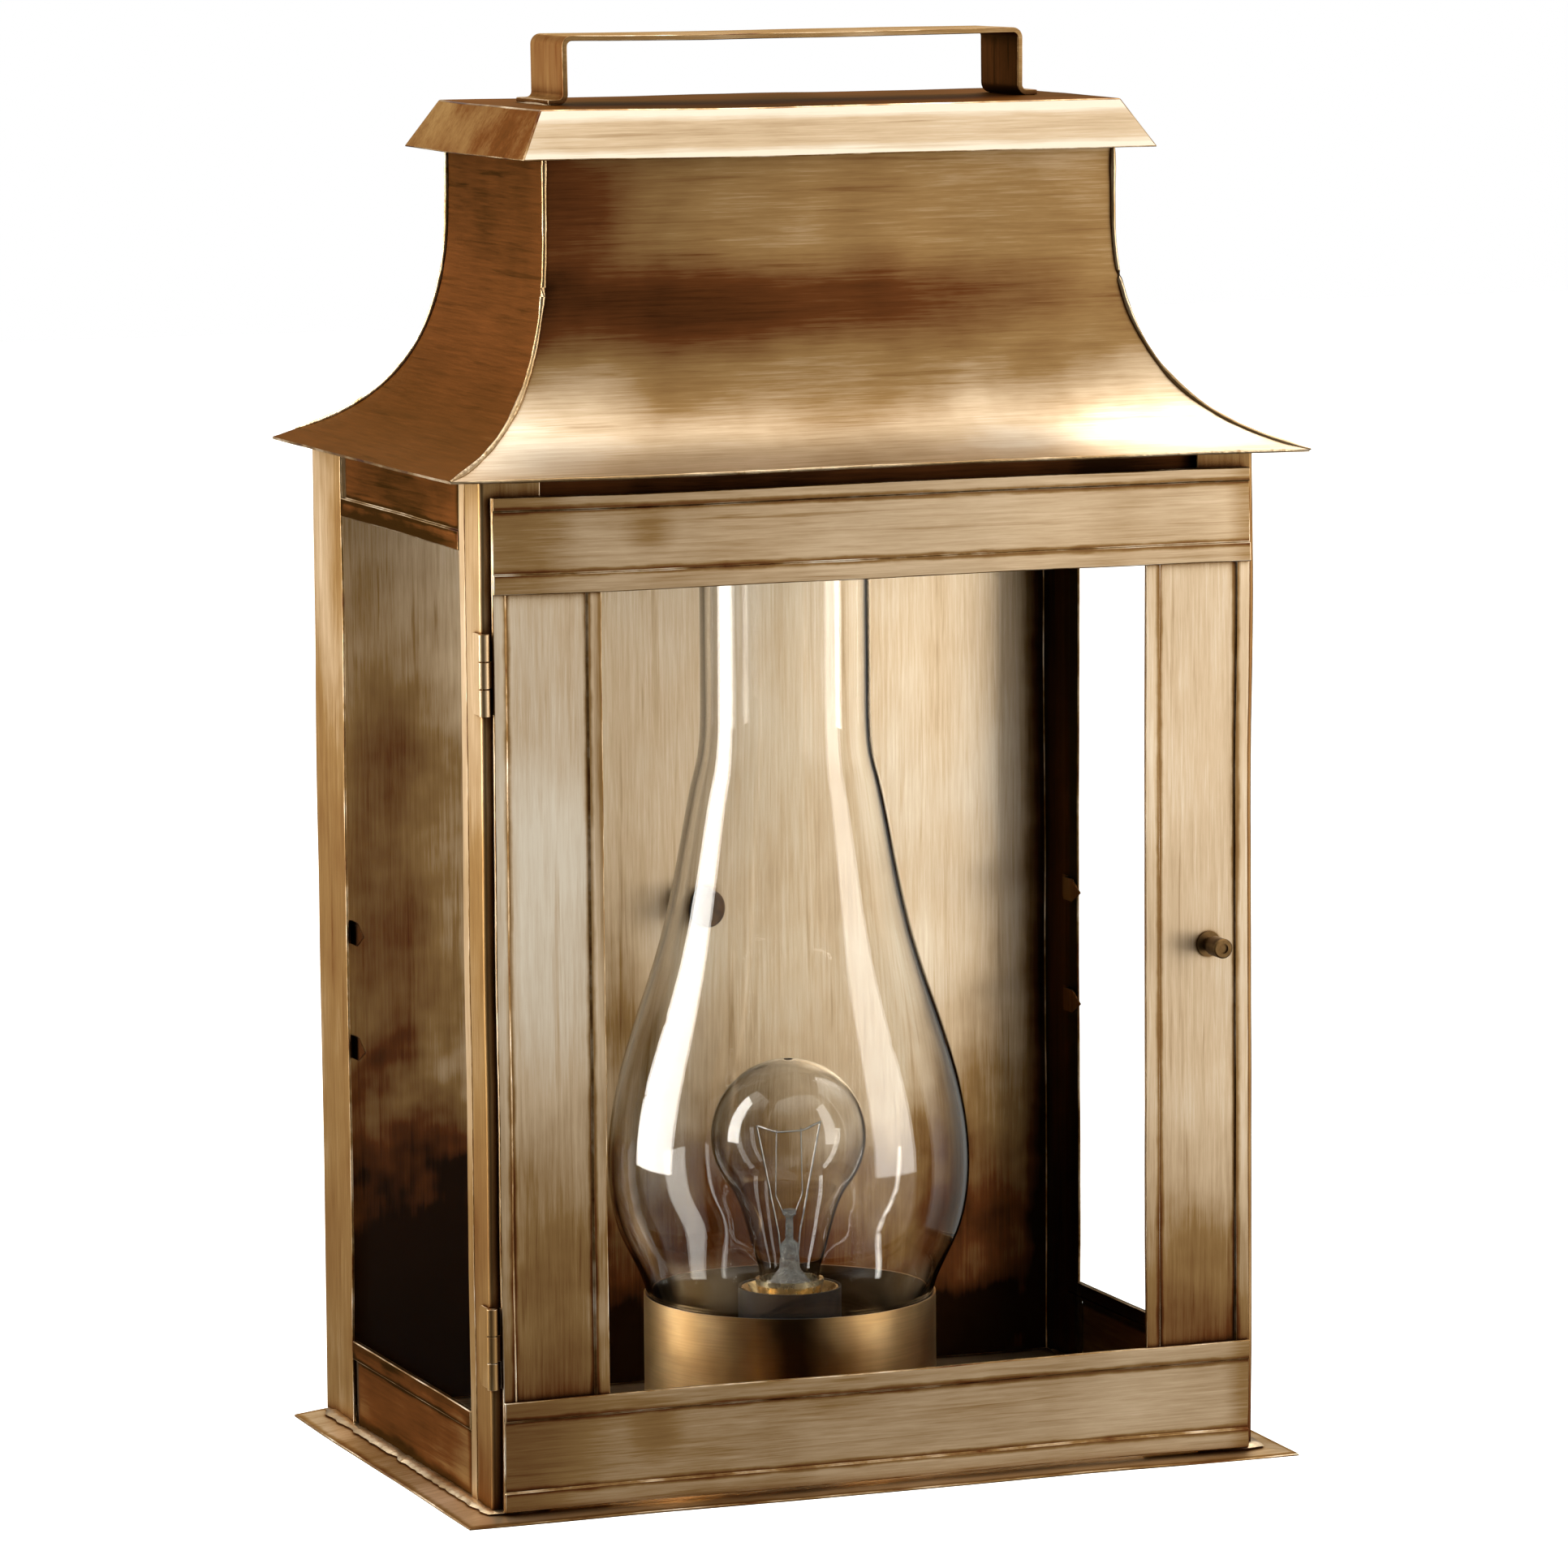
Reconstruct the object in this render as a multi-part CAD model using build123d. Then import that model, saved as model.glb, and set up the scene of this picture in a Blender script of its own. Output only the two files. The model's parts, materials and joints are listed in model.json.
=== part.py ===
from build123d import *
import os
from math import cos, radians, sin

# Wall lantern of folded sheet brass: a glazed box with a hinged front door, a bell-cast roof,
# a vented cap with a strap handle, and a glass lamp chimney standing round a screw-base bulb.
# Frame: millimetres, +Z up, +X to the right of someone facing the lantern, the wall at Y = 0
# and the door towards -Y. The origin is the centre of the stud hole, in the wall plane.

os.makedirs("parts", exist_ok=True)

# ---------------------------------------------------------------- driving dimensions, mm
body_width = 305.0          # across the outer faces of the side walls
body_depth = 201.0          # wall plane to the front faces of the posts
body_height = 383.0         # underside of the base to the eave edge
stud_height = 193.0         # underside of the base to the stud hole
sheet = 1.0                 # folded sheet of walls, posts, door and roof
seat_gap = 0.1              # hair gap left where a folded part rests on another

base_overhang = 13.5        # base plate beyond the walls at the front and sides
base_edge = 1.0             # height of the base plate's outer edge
base_rise = 1.5             # rise of its sloping rim
base_sheet = 1.2

back_flange = 35.0          # depth of the back plate's folded side flanges
post_front = 23.0           # width of a corner post's front leg
post_side = 17.0            # depth of its side leg
post_fold = 1.8             # outer radius of its fold
channel_gap = 1.2           # shadow line between post and glazing channel
channel_width = 6.2
channel_sheet = 0.8
channel_lap = 15.0          # how far the channel laps behind the post

side_rail_sheet = 1.2
side_bottom_rail = 33.5     # height of a side's bottom rail, hem included
side_top_rail = 28.4        # glazed edge of a side's top rail below the eave
hem_width = 7.2             # folded hem along the glazed edge of a rail
hem_proud = 0.8             # how far a hem stands off its sheet
rail_slot = 5.0             # gap between back flange and rail sheet
hem_slot = 0.6              # gap between back flange and rail hem
glass_thickness = 2.0
glass_lap = 5.0             # glass held behind each hem or flange
glass_play = 1.8            # room at a side glass's edges for putting it in
clip_heights = (149.5, 194.0)   # middles of the side tabs above the base's underside
clip_sheet = 0.6
clip_width = 9.0
clip_foot = 8.0
clip_finger = 16.0          # reach of a side tab past the glass's edge
clip_gap = 0.1              # tab beside the glass's edge
door_clip_inset = 24.6      # middles of the door's outer tabs from its opening's ends
door_clip_finger = 2.4      # reach of a door tab over its glass, hidden behind the stile

door_side_inset = 3.5       # door's edges inside the outer faces of the posts
door_bottom_gap = 0.8       # clearance over the base plate
door_top_gap = 7.2          # clearance below the eave edge
door_gap = 1.4              # clearance between posts and door
door_bottom_rail = 41.0
door_top_rail = 35.3
door_stile = 41.6
door_stile_hem = 5.5
door_edge_hem = 5.0

header_drop = 28.0          # height of the header behind the door's top rail
header_setback = 4.0        # header web behind the posts' front legs
frame_width = 20.0          # flat frame on top of the walls, under the roof

eave_overhang = 16.0
roof_run = 55.8             # horizontal run of each roof slope
roof_rise = 86.8            # height of its curved part
eave_angle = 14.0           # slope of the sheet at the eave, degrees
neck_pull = 45.6            # how strongly the curve holds to the upright neck
eave_pull = 40.4            # how strongly it holds to the eave's slope
rear_trim = 8.1             # how much of the rear slope the wall plane cuts off
cap_lift = 111.5            # eave edge to the lower edge of the cap
neck_into_cap = 8.0
cap_overhang = 13.0
cap_height = 17.8
cap_inset = 10.6            # the cap's top plate inside its lower edge
bracket_width = 14.0
bracket_sheet = 1.2
bracket_inset = 42.7        # middle of a cap bracket inside the neck's side face
bracket_foot = 10.0
bracket_lap = 12.0

handle_inset = 16.1         # its feet inside the edge of the cap's top plate
handle_width = 37.0
handle_rise = 25.5
handle_strap = 2.0
handle_foot = 7.0
handle_bend = 3.0

hinge_height = 30.0
hinge_drop = 71.5           # middle of the upper hinge below the eave edge
hinge_lift = 64.0           # middle of the lower hinge above the base's underside
knuckle_radius = 2.0
pin_radius = 1.0
pin_running = 0.05          # radial clearance of the door's knuckle on its pin
pin_seat = 0.02             # radial clearance of the fixed knuckles on the pin
knuckle_gap = 0.3
leaf_sheet = 1.0
post_leaf_depth = 12.0
door_leaf_width = 15.0
leaf_corner = 4.0

latch_inset = 19.5          # latch's axis inside the outer face of the right post
latch_z = 196.6             # above the base's underside
latch_head_radius = 3.75
latch_head_chamfer = 0.5
latch_neck_radius = 2.5
latch_neck_length = 4.7
latch_dimple = 0.8          # depth of the hollow in the knob's face
latch_length = 13.5         # knob standing off its washer
spindle_radius = 1.5
spindle_running = 0.06
latch_washer_radius = 4.8
latch_washer = 0.6
washer_play = 0.3
tongue_length = 13.0
tongue_height = 3.2
tongue_thickness = 1.6
tongue_gap = 0.4            # tongue behind the post's leg
slot_clearance = 1.0        # slot around the tongue

lamp_setback = 108.0        # lamp axis in front of the wall
cup_radius = 56.0
cup_height = 54.5           # ring standing on the base plate
cup_wall = 0.9
cup_floor_lift = 8.0        # its floor above the base plate
wire_hole_radius = 4.0
wire_height = 22.0          # wire holes above the base's underside

chimney_side_gap = 1.3      # radial clearance of the chimney's foot in its ring
chimney_foot_height = 44.5  # straight foot above the base plate
chimney_neck_radius = 32.5
chimney_swell = 15.4        # its bulge beyond the foot
chimney_bulge_z = 108.0     # above the base's underside
chimney_top_z = 350.0
chimney_shoulder = (0.72, 27.4)     # share of the swell, and its depth below the bulge
chimney_slope = ((0.76, 0.2), (0.41, 0.37), (0.088, 0.61))  # shares of radius and of height
chimney_mouth_share = 0.74          # where the upright mouth starts
chimney_wall = 2.0
chimney_seat_gap = 0.3
chimney_lip = 0.8           # fire-polished bead round the mouth

pipe_radius = 4.8
pipe_bore = 3.2
pipe_length = 15.5
nut_across = 14.0
nut_height = 3.5
nut_clearance = 0.05

socket_radius = 19.8
socket_height = 44.5
socket_foot_round = (2.0, 4.0)  # inset and height of the bevel round its foot
socket_floor = 16.0         # thickness of its solid bottom
socket_mouth = 6.5          # height of the flared mouth
socket_rim = 0.9
shell_sheet = 0.5
shell_flange = 0.8
shell_room = 1.1            # between the screw shell and the socket's wall
shell_lift = 7.0            # screw shell above the socket's floor
flare_width = 0.7
contact_reach = (-9.0, 3.5) # ends of the centre contact along X
contact_width = 5.0
terminal_radius = 3.0
terminal_height = 10.0      # terminal screws above the socket's foot
terminal_head = 1.8
terminal_slot = 0.8
terminal_play = 0.8         # pocket round a terminal screw's head
terminal_pocket = 2.5

bulb_radius = 29.7
bulb_length = 110.0
bulb_seat = 6.0             # bulb's tip above the socket's floor
bulb_base_radius = 13.0
bulb_base_length = 21.0
bulb_base_lift = 4.5        # screw cap above the bulb's tip
bulb_thread_pitch = 3.6
bulb_thread_depth = 0.8
bulb_thread_start = 0.8
bulb_thread_clearance = 0.4
bulb_rim_height = 2.0       # plain rim above the thread
bulb_glass_wall = 0.8
bulb_base_sheet = 0.5
bulb_neck_fit = 0.2
bulb_neck_lap = 6.0         # glass neck inside the screw cap
bulb_collar = 1.0           # straight glass above the cap
bulb_shoulder = (1.6, 8.0)  # swell of the neck, and its height above the cap
bulb_contact_radius = 4.6
bulb_contact_height = 1.2
bulb_contact_gap = 0.35     # centre contact below the bulb's tip
insulator_land = 0.6        # flat ring round the tip contact
insulator_lap = 2.0
stem_lap = 5.0              # foot of the glass stem inside the screw cap
stem_flare = 0.6
stem_rim = 1.2
press_low = (4.0, 9.0)      # radius and height of the stem's press, at its foot
press_high = (3.4, 18.0)
rod_foot = (1.6, 20.0)
rod_radius = 1.4
button_radius = 2.6
button_height = 2.0
stem_drop = 58.0            # top of the stem below the bulb's top
filament_drop = 25.0
filament_half = 13.0
filament_sag = 3.0
filament_radius = 0.4
filament_offset = 0.7       # filament in front of the wires it hangs on
lead_radius = 0.35
support_radius = 0.25

knob_radius = 7.25
knob_length = 14.0
knob_chamfer = 0.8
knob_thread_radius = 1.75   # tapped for a number 8 fixture screw
knob_thread_depth = 11.0
seal_radius = 8.0
seal_thickness = 1.0
stud_hole_radius = 2.5
bushing_radius = 5.5
bushing_flange = 7.5
bushing_flange_thickness = 1.5
bushing_length = 6.0
bushing_fit = 0.05

# ---------------------------------------------------------------- places worked out from them
wall_x = body_width / 2
front_y = -body_depth
base_low = -stud_height
base_top = base_low + base_edge + base_rise
eave_z = base_low + body_height
neck_half = wall_x + eave_overhang - roof_run
neck_front = -(body_depth + eave_overhang - roof_run)
neck_back = -(roof_run - rear_trim)
neck_mid = (neck_front + neck_back) / 2
cap_low = eave_z + cap_lift
cap_top = cap_low + cap_height
neck_top = cap_low + neck_into_cap
lamp_y = -lamp_setback
rail_inner = wall_x - sheet - channel_sheet
rail_outer = rail_inner + side_rail_sheet
channel_back = front_y + post_side + channel_gap + channel_width
shell_radius = bulb_base_radius + bulb_thread_clearance
socket_bore = shell_radius + shell_sheet + shell_room
chimney_foot_radius = cup_radius - cup_wall - chimney_side_gap
chimney_bulge_radius = chimney_foot_radius + chimney_swell
latch_x = wall_x - latch_inset
latch_height = base_low + latch_z


def roof_curve(offset=0.0):
    """Control points (run, height) of the roof's curve; offset moves it inwards."""
    angle = radians(eave_angle)
    stretch = 1 + offset / roof_rise
    start = (-offset, eave_z + roof_rise)
    end = (roof_run - offset * sin(angle), eave_z - offset * cos(angle))
    return [
        start,
        (start[0], start[1] - neck_pull * stretch),
        (end[0] - eave_pull * stretch * cos(angle), end[1] + eave_pull * stretch * sin(angle)),
        end,
    ]


def roof_underside(run):
    """Height of the roof sheet's underside at a given run from the neck."""
    points = roof_curve(sheet)
    low, high = 0.0, 1.0
    for _ in range(40):
        t = (low + high) / 2
        weights = [(1 - t) ** 3, 3 * t * (1 - t) ** 2, 3 * t * t * (1 - t), t ** 3]
        at_run = sum(w * p[0] for w, p in zip(weights, points))
        low, high = (t, high) if at_run < run else (low, t)
    return sum(w * p[1] for w, p in zip(weights, points))


wall_run = roof_run - eave_overhang
wall_top = roof_underside(wall_run) - sheet - seat_gap
back_top = roof_underside(-neck_back) - seat_gap
frame_back = neck_back + wall_run


# ---------------------------------------------------------------- shape helpers
def block(x_range, y_range, z_range):
    """Box between the given low and high values along each axis."""
    size = [abs(b - a) for a, b in (x_range, y_range, z_range)]
    middle = [(a + b) / 2 for a, b in (x_range, y_range, z_range)]
    return Pos(*middle) * Box(*size)


def rod(radius, low, high, x=0.0, y=0.0):
    """Upright cylinder between two heights."""
    return Pos(x, y, (low + high) / 2) * Cylinder(radius, high - low)


def rod_y(radius, near, far, x=0.0, z=0.0):
    """Cylinder along Y between two distances."""
    middle = Pos(x, (near + far) / 2, z)
    return middle * Rot(90, 0, 0) * Cylinder(radius, abs(far - near))


def hipped(low_outline, high_outline, z_low, z_high):
    """Solid between two rectangles, each given as (half width, back, front)."""
    faces = []
    for (half, back, front), z in ((low_outline, z_low), (high_outline, z_high)):
        faces.append(Pos(0, (back + front) / 2, z) * Rectangle(2 * half, back - front))
    return loft(faces, ruled=True)


def turned(points):
    """Solid of revolution about Z from an outline of (radius, height) points and curves."""
    outline = Polyline(*[(r, 0, z) for r, z in points], close=True)
    return revolve(make_face(outline), Axis.Z)


def both_sides(solid, name):
    """Writes a left part and its mirror image on the right."""
    save(solid, name + "_left")
    save(mirror(solid, about=Plane.YZ), name + "_right")


def save(shape, name):
    """Writes one sub-part as a STEP file named after its node."""
    solids = shape.solids()
    whole = solids[0] if len(solids) == 1 else Compound(children=list(solids))
    export_step(whole, f"parts/{name}.step")


# ---------------------------------------------------------------- base and back
def make_base_plate():
    rim = (wall_x + base_overhang, 0, front_y - base_overhang)
    flat = (wall_x, 0, front_y)
    edge_z = base_low + base_edge

    def tray(drop):
        edge = hipped(rim, rim, base_low - drop, edge_z - drop)
        return edge + hipped(rim, flat, edge_z - drop, base_top - drop)

    return tray(0) - tray(base_sheet)


def make_back_plate():
    z_range = (base_top, back_top)
    plate = block((-wall_x, wall_x), (-sheet, 0), z_range)
    for side in (-1, 1):
        plate += block((side * wall_x, side * (wall_x - sheet)), (-back_flange, 0), z_range)
    plate -= rod_y(stud_hole_radius, 1, -2 * sheet)
    plate -= rod_y(bushing_radius, 1, -2 * sheet, z=base_low + wire_height)
    return plate


def make_front_post():
    leg_front = Pos(-wall_x + post_front / 2, front_y + sheet / 2) * Rectangle(post_front, sheet)
    leg_side = Pos(-wall_x + sheet / 2, front_y + post_side / 2) * Rectangle(sheet, post_side)
    section = leg_front + leg_side
    outer = section.vertices().sort_by_distance((-wall_x, front_y, 0))[0]
    section = fillet(outer, post_fold)
    inner = section.vertices().sort_by_distance((-wall_x + sheet, front_y + sheet, 0))[0]
    section = fillet(inner, post_fold - sheet)
    return Pos(0, 0, base_top) * extrude(section, wall_top - base_top)


def make_glazing_channel():
    z_range = (base_top, wall_top)
    bead_x = (-rail_inner - channel_sheet, -rail_inner - 2 * channel_sheet)
    lap_y = (channel_back, front_y + post_side - channel_lap)
    lap = block((-rail_inner, -rail_inner - channel_sheet), lap_y, z_range)
    bead = block(bead_x, (channel_back, channel_back - channel_width), z_range)
    return lap + bead


# ---------------------------------------------------------------- side walls
def make_side_rail(z_range, hem_range):
    panel = block((-rail_outer, -rail_inner), (-back_flange - rail_slot, channel_back), z_range)
    hem_y = (-back_flange - hem_slot, channel_back)
    hem = block((-rail_outer - hem_proud, -rail_inner), hem_y, hem_range)
    return panel + hem


side_bottom_top = base_top + side_bottom_rail
side_top_low = eave_z - side_top_rail
glass_x = (-rail_inner, -rail_inner + glass_thickness)
side_glass_y = (-back_flange + glass_lap + glass_play, front_y + post_side - channel_lap + seat_gap)
side_glass_z = (side_bottom_top - glass_lap, side_top_low + glass_lap)


def make_side_clips():
    """Bent tabs soldered inside the back flange, holding the glass against the rails."""
    foot_x = -wall_x + sheet
    edge_y = side_glass_y[0] + clip_gap
    clips = []
    for height in clip_heights:
        z = base_low + height
        z_range = (z - clip_width / 2, z + clip_width / 2)
        finger_x = (glass_x[1], glass_x[1] + clip_sheet)
        foot = block((foot_x, foot_x + clip_sheet), (edge_y, edge_y + clip_foot), z_range)
        riser = block((foot_x, finger_x[1]), (edge_y, edge_y + clip_sheet), z_range)
        finger = block(finger_x, (edge_y + clip_sheet, edge_y - clip_finger / 2), z_range)
        tip_y = edge_y - clip_finger / 2
        tip = Polyline(
            (0, tip_y, z_range[0]), (0, tip_y, z_range[1]), (0, edge_y - clip_finger, z), close=True
        )
        point = Pos(finger_x[0], 0, 0) * extrude(make_face(tip), clip_sheet, dir=(1, 0, 0))
        clips.append(foot + riser + finger + point)
    return clips


# ---------------------------------------------------------------- top of the walls and roof
def make_header():
    half = rail_inner - glass_thickness - seat_gap
    leg_back = front_y + sheet
    web_y = (leg_back + header_setback, leg_back + header_setback + sheet)
    web = block((-half, half), web_y, (wall_top - header_drop, wall_top))
    flange = block((-half, half), (leg_back, web_y[0]), (wall_top - sheet, wall_top))
    return web + flange


def make_top_frame():
    z_range = (wall_top, wall_top + sheet)
    outer = block((-wall_x, wall_x), (frame_back, front_y), z_range)
    inner_half = wall_x - frame_width
    inner = block((-inner_half, inner_half), (frame_back - frame_width, front_y + frame_width),
                  (wall_top - 1, wall_top + 2 * sheet))
    return outer - inner


def make_roof_panel(half_length):
    """One bell-cast slope: neck face at local x = 0, sloping down towards +x."""
    outer = [(r, 0, z) for r, z in roof_curve()]
    inner = [(r, 0, z) for r, z in roof_curve(sheet)]
    edges = [
        Bezier(*outer),
        Line(outer[-1], inner[-1]),
        Bezier(*inner),
        Line(inner[0], (-sheet, 0, neck_top)),
        Line((-sheet, 0, neck_top), (0, 0, neck_top)),
        Line((0, 0, neck_top), outer[0]),
    ]
    reach = half_length + roof_run + sheet
    panel = extrude(make_face(edges), reach, dir=(0, 1, 0), both=True)
    near, far = -2 * sheet, roof_run + sheet
    plan = Polyline(
        (near, -half_length - near), (far, -half_length - far),
        (far, half_length + far), (near, half_length + near), close=True,
    )
    wedge = Pos(0, 0, eave_z - 10) * extrude(make_face(plan), neck_top - eave_z + 20)
    return panel & wedge


def make_roof():
    room = 2 * body_width
    before_wall = block((-room, room), (-room, 0), (eave_z - 10, neck_top + 10))
    side = make_roof_panel((neck_back - neck_front) / 2)
    front = make_roof_panel(neck_half)
    return {
        "roof_right": Pos(neck_half, neck_mid, 0) * side & before_wall,
        "roof_left": Pos(-neck_half, neck_mid, 0) * Rot(0, 0, 180) * side & before_wall,
        "roof_front": Pos(0, neck_front, 0) * Rot(0, 0, -90) * front,
        "roof_rear": Pos(0, neck_back, 0) * Rot(0, 0, 90) * front & before_wall,
    }


def make_cap():
    def outline(grow):
        return (neck_half + grow, neck_back + grow, neck_front - grow)

    wall = sheet * ((cap_height ** 2 + cap_inset ** 2) ** 0.5) / cap_height
    lower, upper = outline(cap_overhang), outline(cap_overhang - cap_inset)
    slope = cap_inset / cap_height
    hollow_low = outline(cap_overhang - wall + slope * sheet)
    hollow_high = outline(cap_overhang - cap_inset - wall + slope * sheet)
    solid = hipped(lower, upper, cap_low, cap_top)
    return solid - hipped(hollow_low, hollow_high, cap_low - sheet, cap_top - sheet)


def make_cap_brackets():
    top = cap_top - sheet
    z_range = (neck_top - bracket_lap, top)
    brackets = []
    for y, inward in ((neck_front + sheet, 1), (neck_back - sheet, -1)):
        for middle in (bracket_inset - neck_half, neck_half - bracket_inset):
            x_range = (middle - bracket_width / 2, middle + bracket_width / 2)
            strap = block(x_range, (y, y + inward * bracket_sheet), z_range)
            foot_end = y + inward * bracket_foot
            foot = block(x_range, (y, foot_end), (top - bracket_sheet, top))
            brackets.append(strap + foot)
    return brackets


def make_handle():
    plate_half = neck_half + cap_overhang - cap_inset
    half = plate_half - handle_inset - handle_foot - handle_strap / 2
    low = cap_top + handle_strap / 2
    high = cap_top + handle_rise - handle_strap / 2
    route = FilletPolyline(
        (-half - handle_foot, low), (-half, low), (-half, high),
        (half, high), (half, low), (half + handle_foot, low), radius=handle_bend,
    )
    strip = trace(route, line_width=handle_strap)
    upright = Plane(origin=(0, neck_mid, 0), x_dir=(1, 0, 0), z_dir=(0, -1, 0))
    return extrude(upright * strip, handle_width / 2, both=True)


# ---------------------------------------------------------------- door
door_half = wall_x - door_side_inset
door_low = base_top + door_bottom_gap
door_high = eave_z - door_top_gap
stile_back = front_y - door_gap
stile_front = stile_back - sheet
rail_back = stile_front - hem_proud
rail_front = rail_back - sheet
opening_half = door_half - door_stile
opening_low = door_low + door_bottom_rail
opening_high = door_high - door_top_rail


def make_door_stile(side):
    """Upright of the door: a flat strip with a hem along each long edge."""
    def across(a, b):
        return (side * a, side * b)

    y_range = (stile_back, stile_front)
    strip = block(across(opening_half, door_half), y_range, (door_low, door_high))
    for a, b in (
        (opening_half, opening_half + door_stile_hem),
        (door_half - door_edge_hem, door_half),
    ):
        strip += block(across(a, b), (stile_back, rail_back), (door_low, door_high))
    if side > 0:
        hole = spindle_radius + spindle_running
        strip -= rod_y(hole, stile_back + 1, rail_front, x=latch_x, z=latch_height)
    return strip


def make_door_rail(z_range, hem_ranges):
    """Cross rail lying over the stiles, with folded hems and short end returns."""
    rail = block((-door_half, door_half), (rail_back, rail_front), z_range)
    for hem in hem_ranges:
        rail += block((-door_half, door_half), (rail_back, rail_front - hem_proud), hem)
    return rail


door_glass_half = opening_half + glass_lap
door_glass_z = (opening_low - glass_lap, opening_high + glass_lap)


def make_door_clips():
    """Bent tabs soldered behind the stiles, holding the door's glass."""
    glass_back = stile_back + glass_thickness
    heights = (opening_low + door_clip_inset, (opening_low + opening_high) / 2,
               opening_high - door_clip_inset)
    clips = []
    for side in (-1, 1):
        edge = door_glass_half + clip_gap
        for z in heights:
            z_range = (z - clip_width / 2, z + clip_width / 2)
            foot_y = (stile_back, stile_back + clip_sheet)
            finger_y = (glass_back, glass_back + clip_sheet)
            foot = block((side * edge, side * (edge + clip_foot)), foot_y, z_range)
            riser_x = (side * edge, side * (edge + clip_sheet))
            riser = block(riser_x, (stile_back, finger_y[1]), z_range)
            finger = block((side * (edge - door_clip_finger), riser_x[1]), finger_y, z_range)
            clips.append(foot + riser + finger)
    return clips


# ---------------------------------------------------------------- hinges
hinge_x = -wall_x
hinge_y = stile_back + leaf_sheet - knuckle_radius


def knuckle(z_range, bore):
    barrel = rod(knuckle_radius, z_range[0], z_range[1], hinge_x, hinge_y)
    return barrel, rod(bore, z_range[0] - 1, z_range[1] + 1, hinge_x, hinge_y)


def make_hinge(middle):
    """Post leaf, door leaf and pin of one butt hinge."""
    low, high = middle - hinge_height / 2, middle + hinge_height / 2
    third = hinge_height / 3
    door_part = (low + third + knuckle_gap / 2, high - third - knuckle_gap / 2)
    post_parts = ((low, door_part[0] - knuckle_gap), (door_part[1] + knuckle_gap, high))

    leaf_end = hinge_y + post_leaf_depth
    leaf_x = (-wall_x - leaf_sheet, -wall_x)
    post_leaf = block(leaf_x, (hinge_y + knuckle_radius, leaf_end), (low, high))
    free_edges = post_leaf.edges().filter_by(Axis.X).group_by(Axis.Y)[-1]
    post_leaf = fillet(free_edges, leaf_corner)
    door_reach = (hinge_x, hinge_x + door_leaf_width)
    door_leaf = block(door_reach, (stile_back, stile_back + leaf_sheet), door_part)
    wide = block((-door_half, door_reach[1]), (stile_back, stile_back + leaf_sheet), (low, high))
    door_leaf += wide
    for z_range in post_parts:
        barrel, bore = knuckle(z_range, pin_radius + pin_seat)
        web = block(leaf_x, (hinge_y, hinge_y + knuckle_radius), z_range)
        post_leaf = post_leaf + web + barrel - bore
    barrel, bore = knuckle(door_part, pin_radius + pin_running)
    door_leaf = door_leaf + barrel - bore
    pin = rod(pin_radius, low, high, hinge_x, hinge_y)
    return post_leaf, door_leaf, pin


# ---------------------------------------------------------------- latch
def make_latch():
    """Turn knob, washer, spindle and tongue. Level, the tongue passes through the post's slot;
    a quarter turn sets it upright behind the post's leg."""
    washer_front = stile_front - latch_washer
    knob_front = washer_front - latch_length
    head_back = washer_front - latch_neck_length
    knob = rod_y(latch_neck_radius, washer_front, head_back, latch_x, latch_height)
    head = rod_y(latch_head_radius, head_back, knob_front, latch_x, latch_height)
    head = chamfer(head.edges().filter_by(GeomType.CIRCLE), latch_head_chamfer)
    dimple_back = knob_front + latch_dimple
    dimple = rod_y(latch_head_radius / 2, dimple_back, knob_front - 1, latch_x, latch_height)
    washer = rod_y(latch_washer_radius, stile_front, washer_front, latch_x, latch_height)
    hole = spindle_radius + washer_play
    washer -= rod_y(hole, stile_front + 1, washer_front - 1, latch_x, latch_height)
    tongue_near = front_y + sheet + tongue_gap
    tongue_far = tongue_near + tongue_thickness
    half = tongue_length / 2
    thin = tongue_height / 2
    spindle = rod_y(spindle_radius, washer_front, tongue_near, latch_x, latch_height)
    tongue = block((latch_x - half, latch_x + half), (tongue_near, tongue_far),
                   (latch_height - thin, latch_height + thin))
    return {"latch_knob": knob + head - dimple, "latch_washer": washer,
            "latch_spindle": spindle, "latch_tongue": tongue}


def cut_latch_slot(post):
    half = tongue_length / 2 + slot_clearance
    thin = tongue_height / 2 + slot_clearance / 2
    slot = block((latch_x - half, latch_x + half), (front_y - 1, front_y + 2 * sheet),
                 (latch_height - thin, latch_height + thin))
    return post - slot


# ---------------------------------------------------------------- chimney and its cup
cup_floor_top = base_top + cup_floor_lift + sheet


def make_cup_ring():
    ring = rod(cup_radius, base_top, base_top + cup_height, 0, lamp_y)
    ring -= rod(cup_radius - cup_wall, base_top - 1, base_top + cup_height + 1, 0, lamp_y)
    wire = rod_y(wire_hole_radius, lamp_y, lamp_y + 2 * cup_radius, z=base_low + wire_height)
    return ring - wire


def make_cup_floor():
    inner = cup_radius - cup_wall - seat_gap
    floor = rod(inner, cup_floor_top - sheet, cup_floor_top, 0, lamp_y)
    return floor - rod(pipe_radius + seat_gap, base_top, cup_floor_top + 1, 0, lamp_y)


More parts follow.
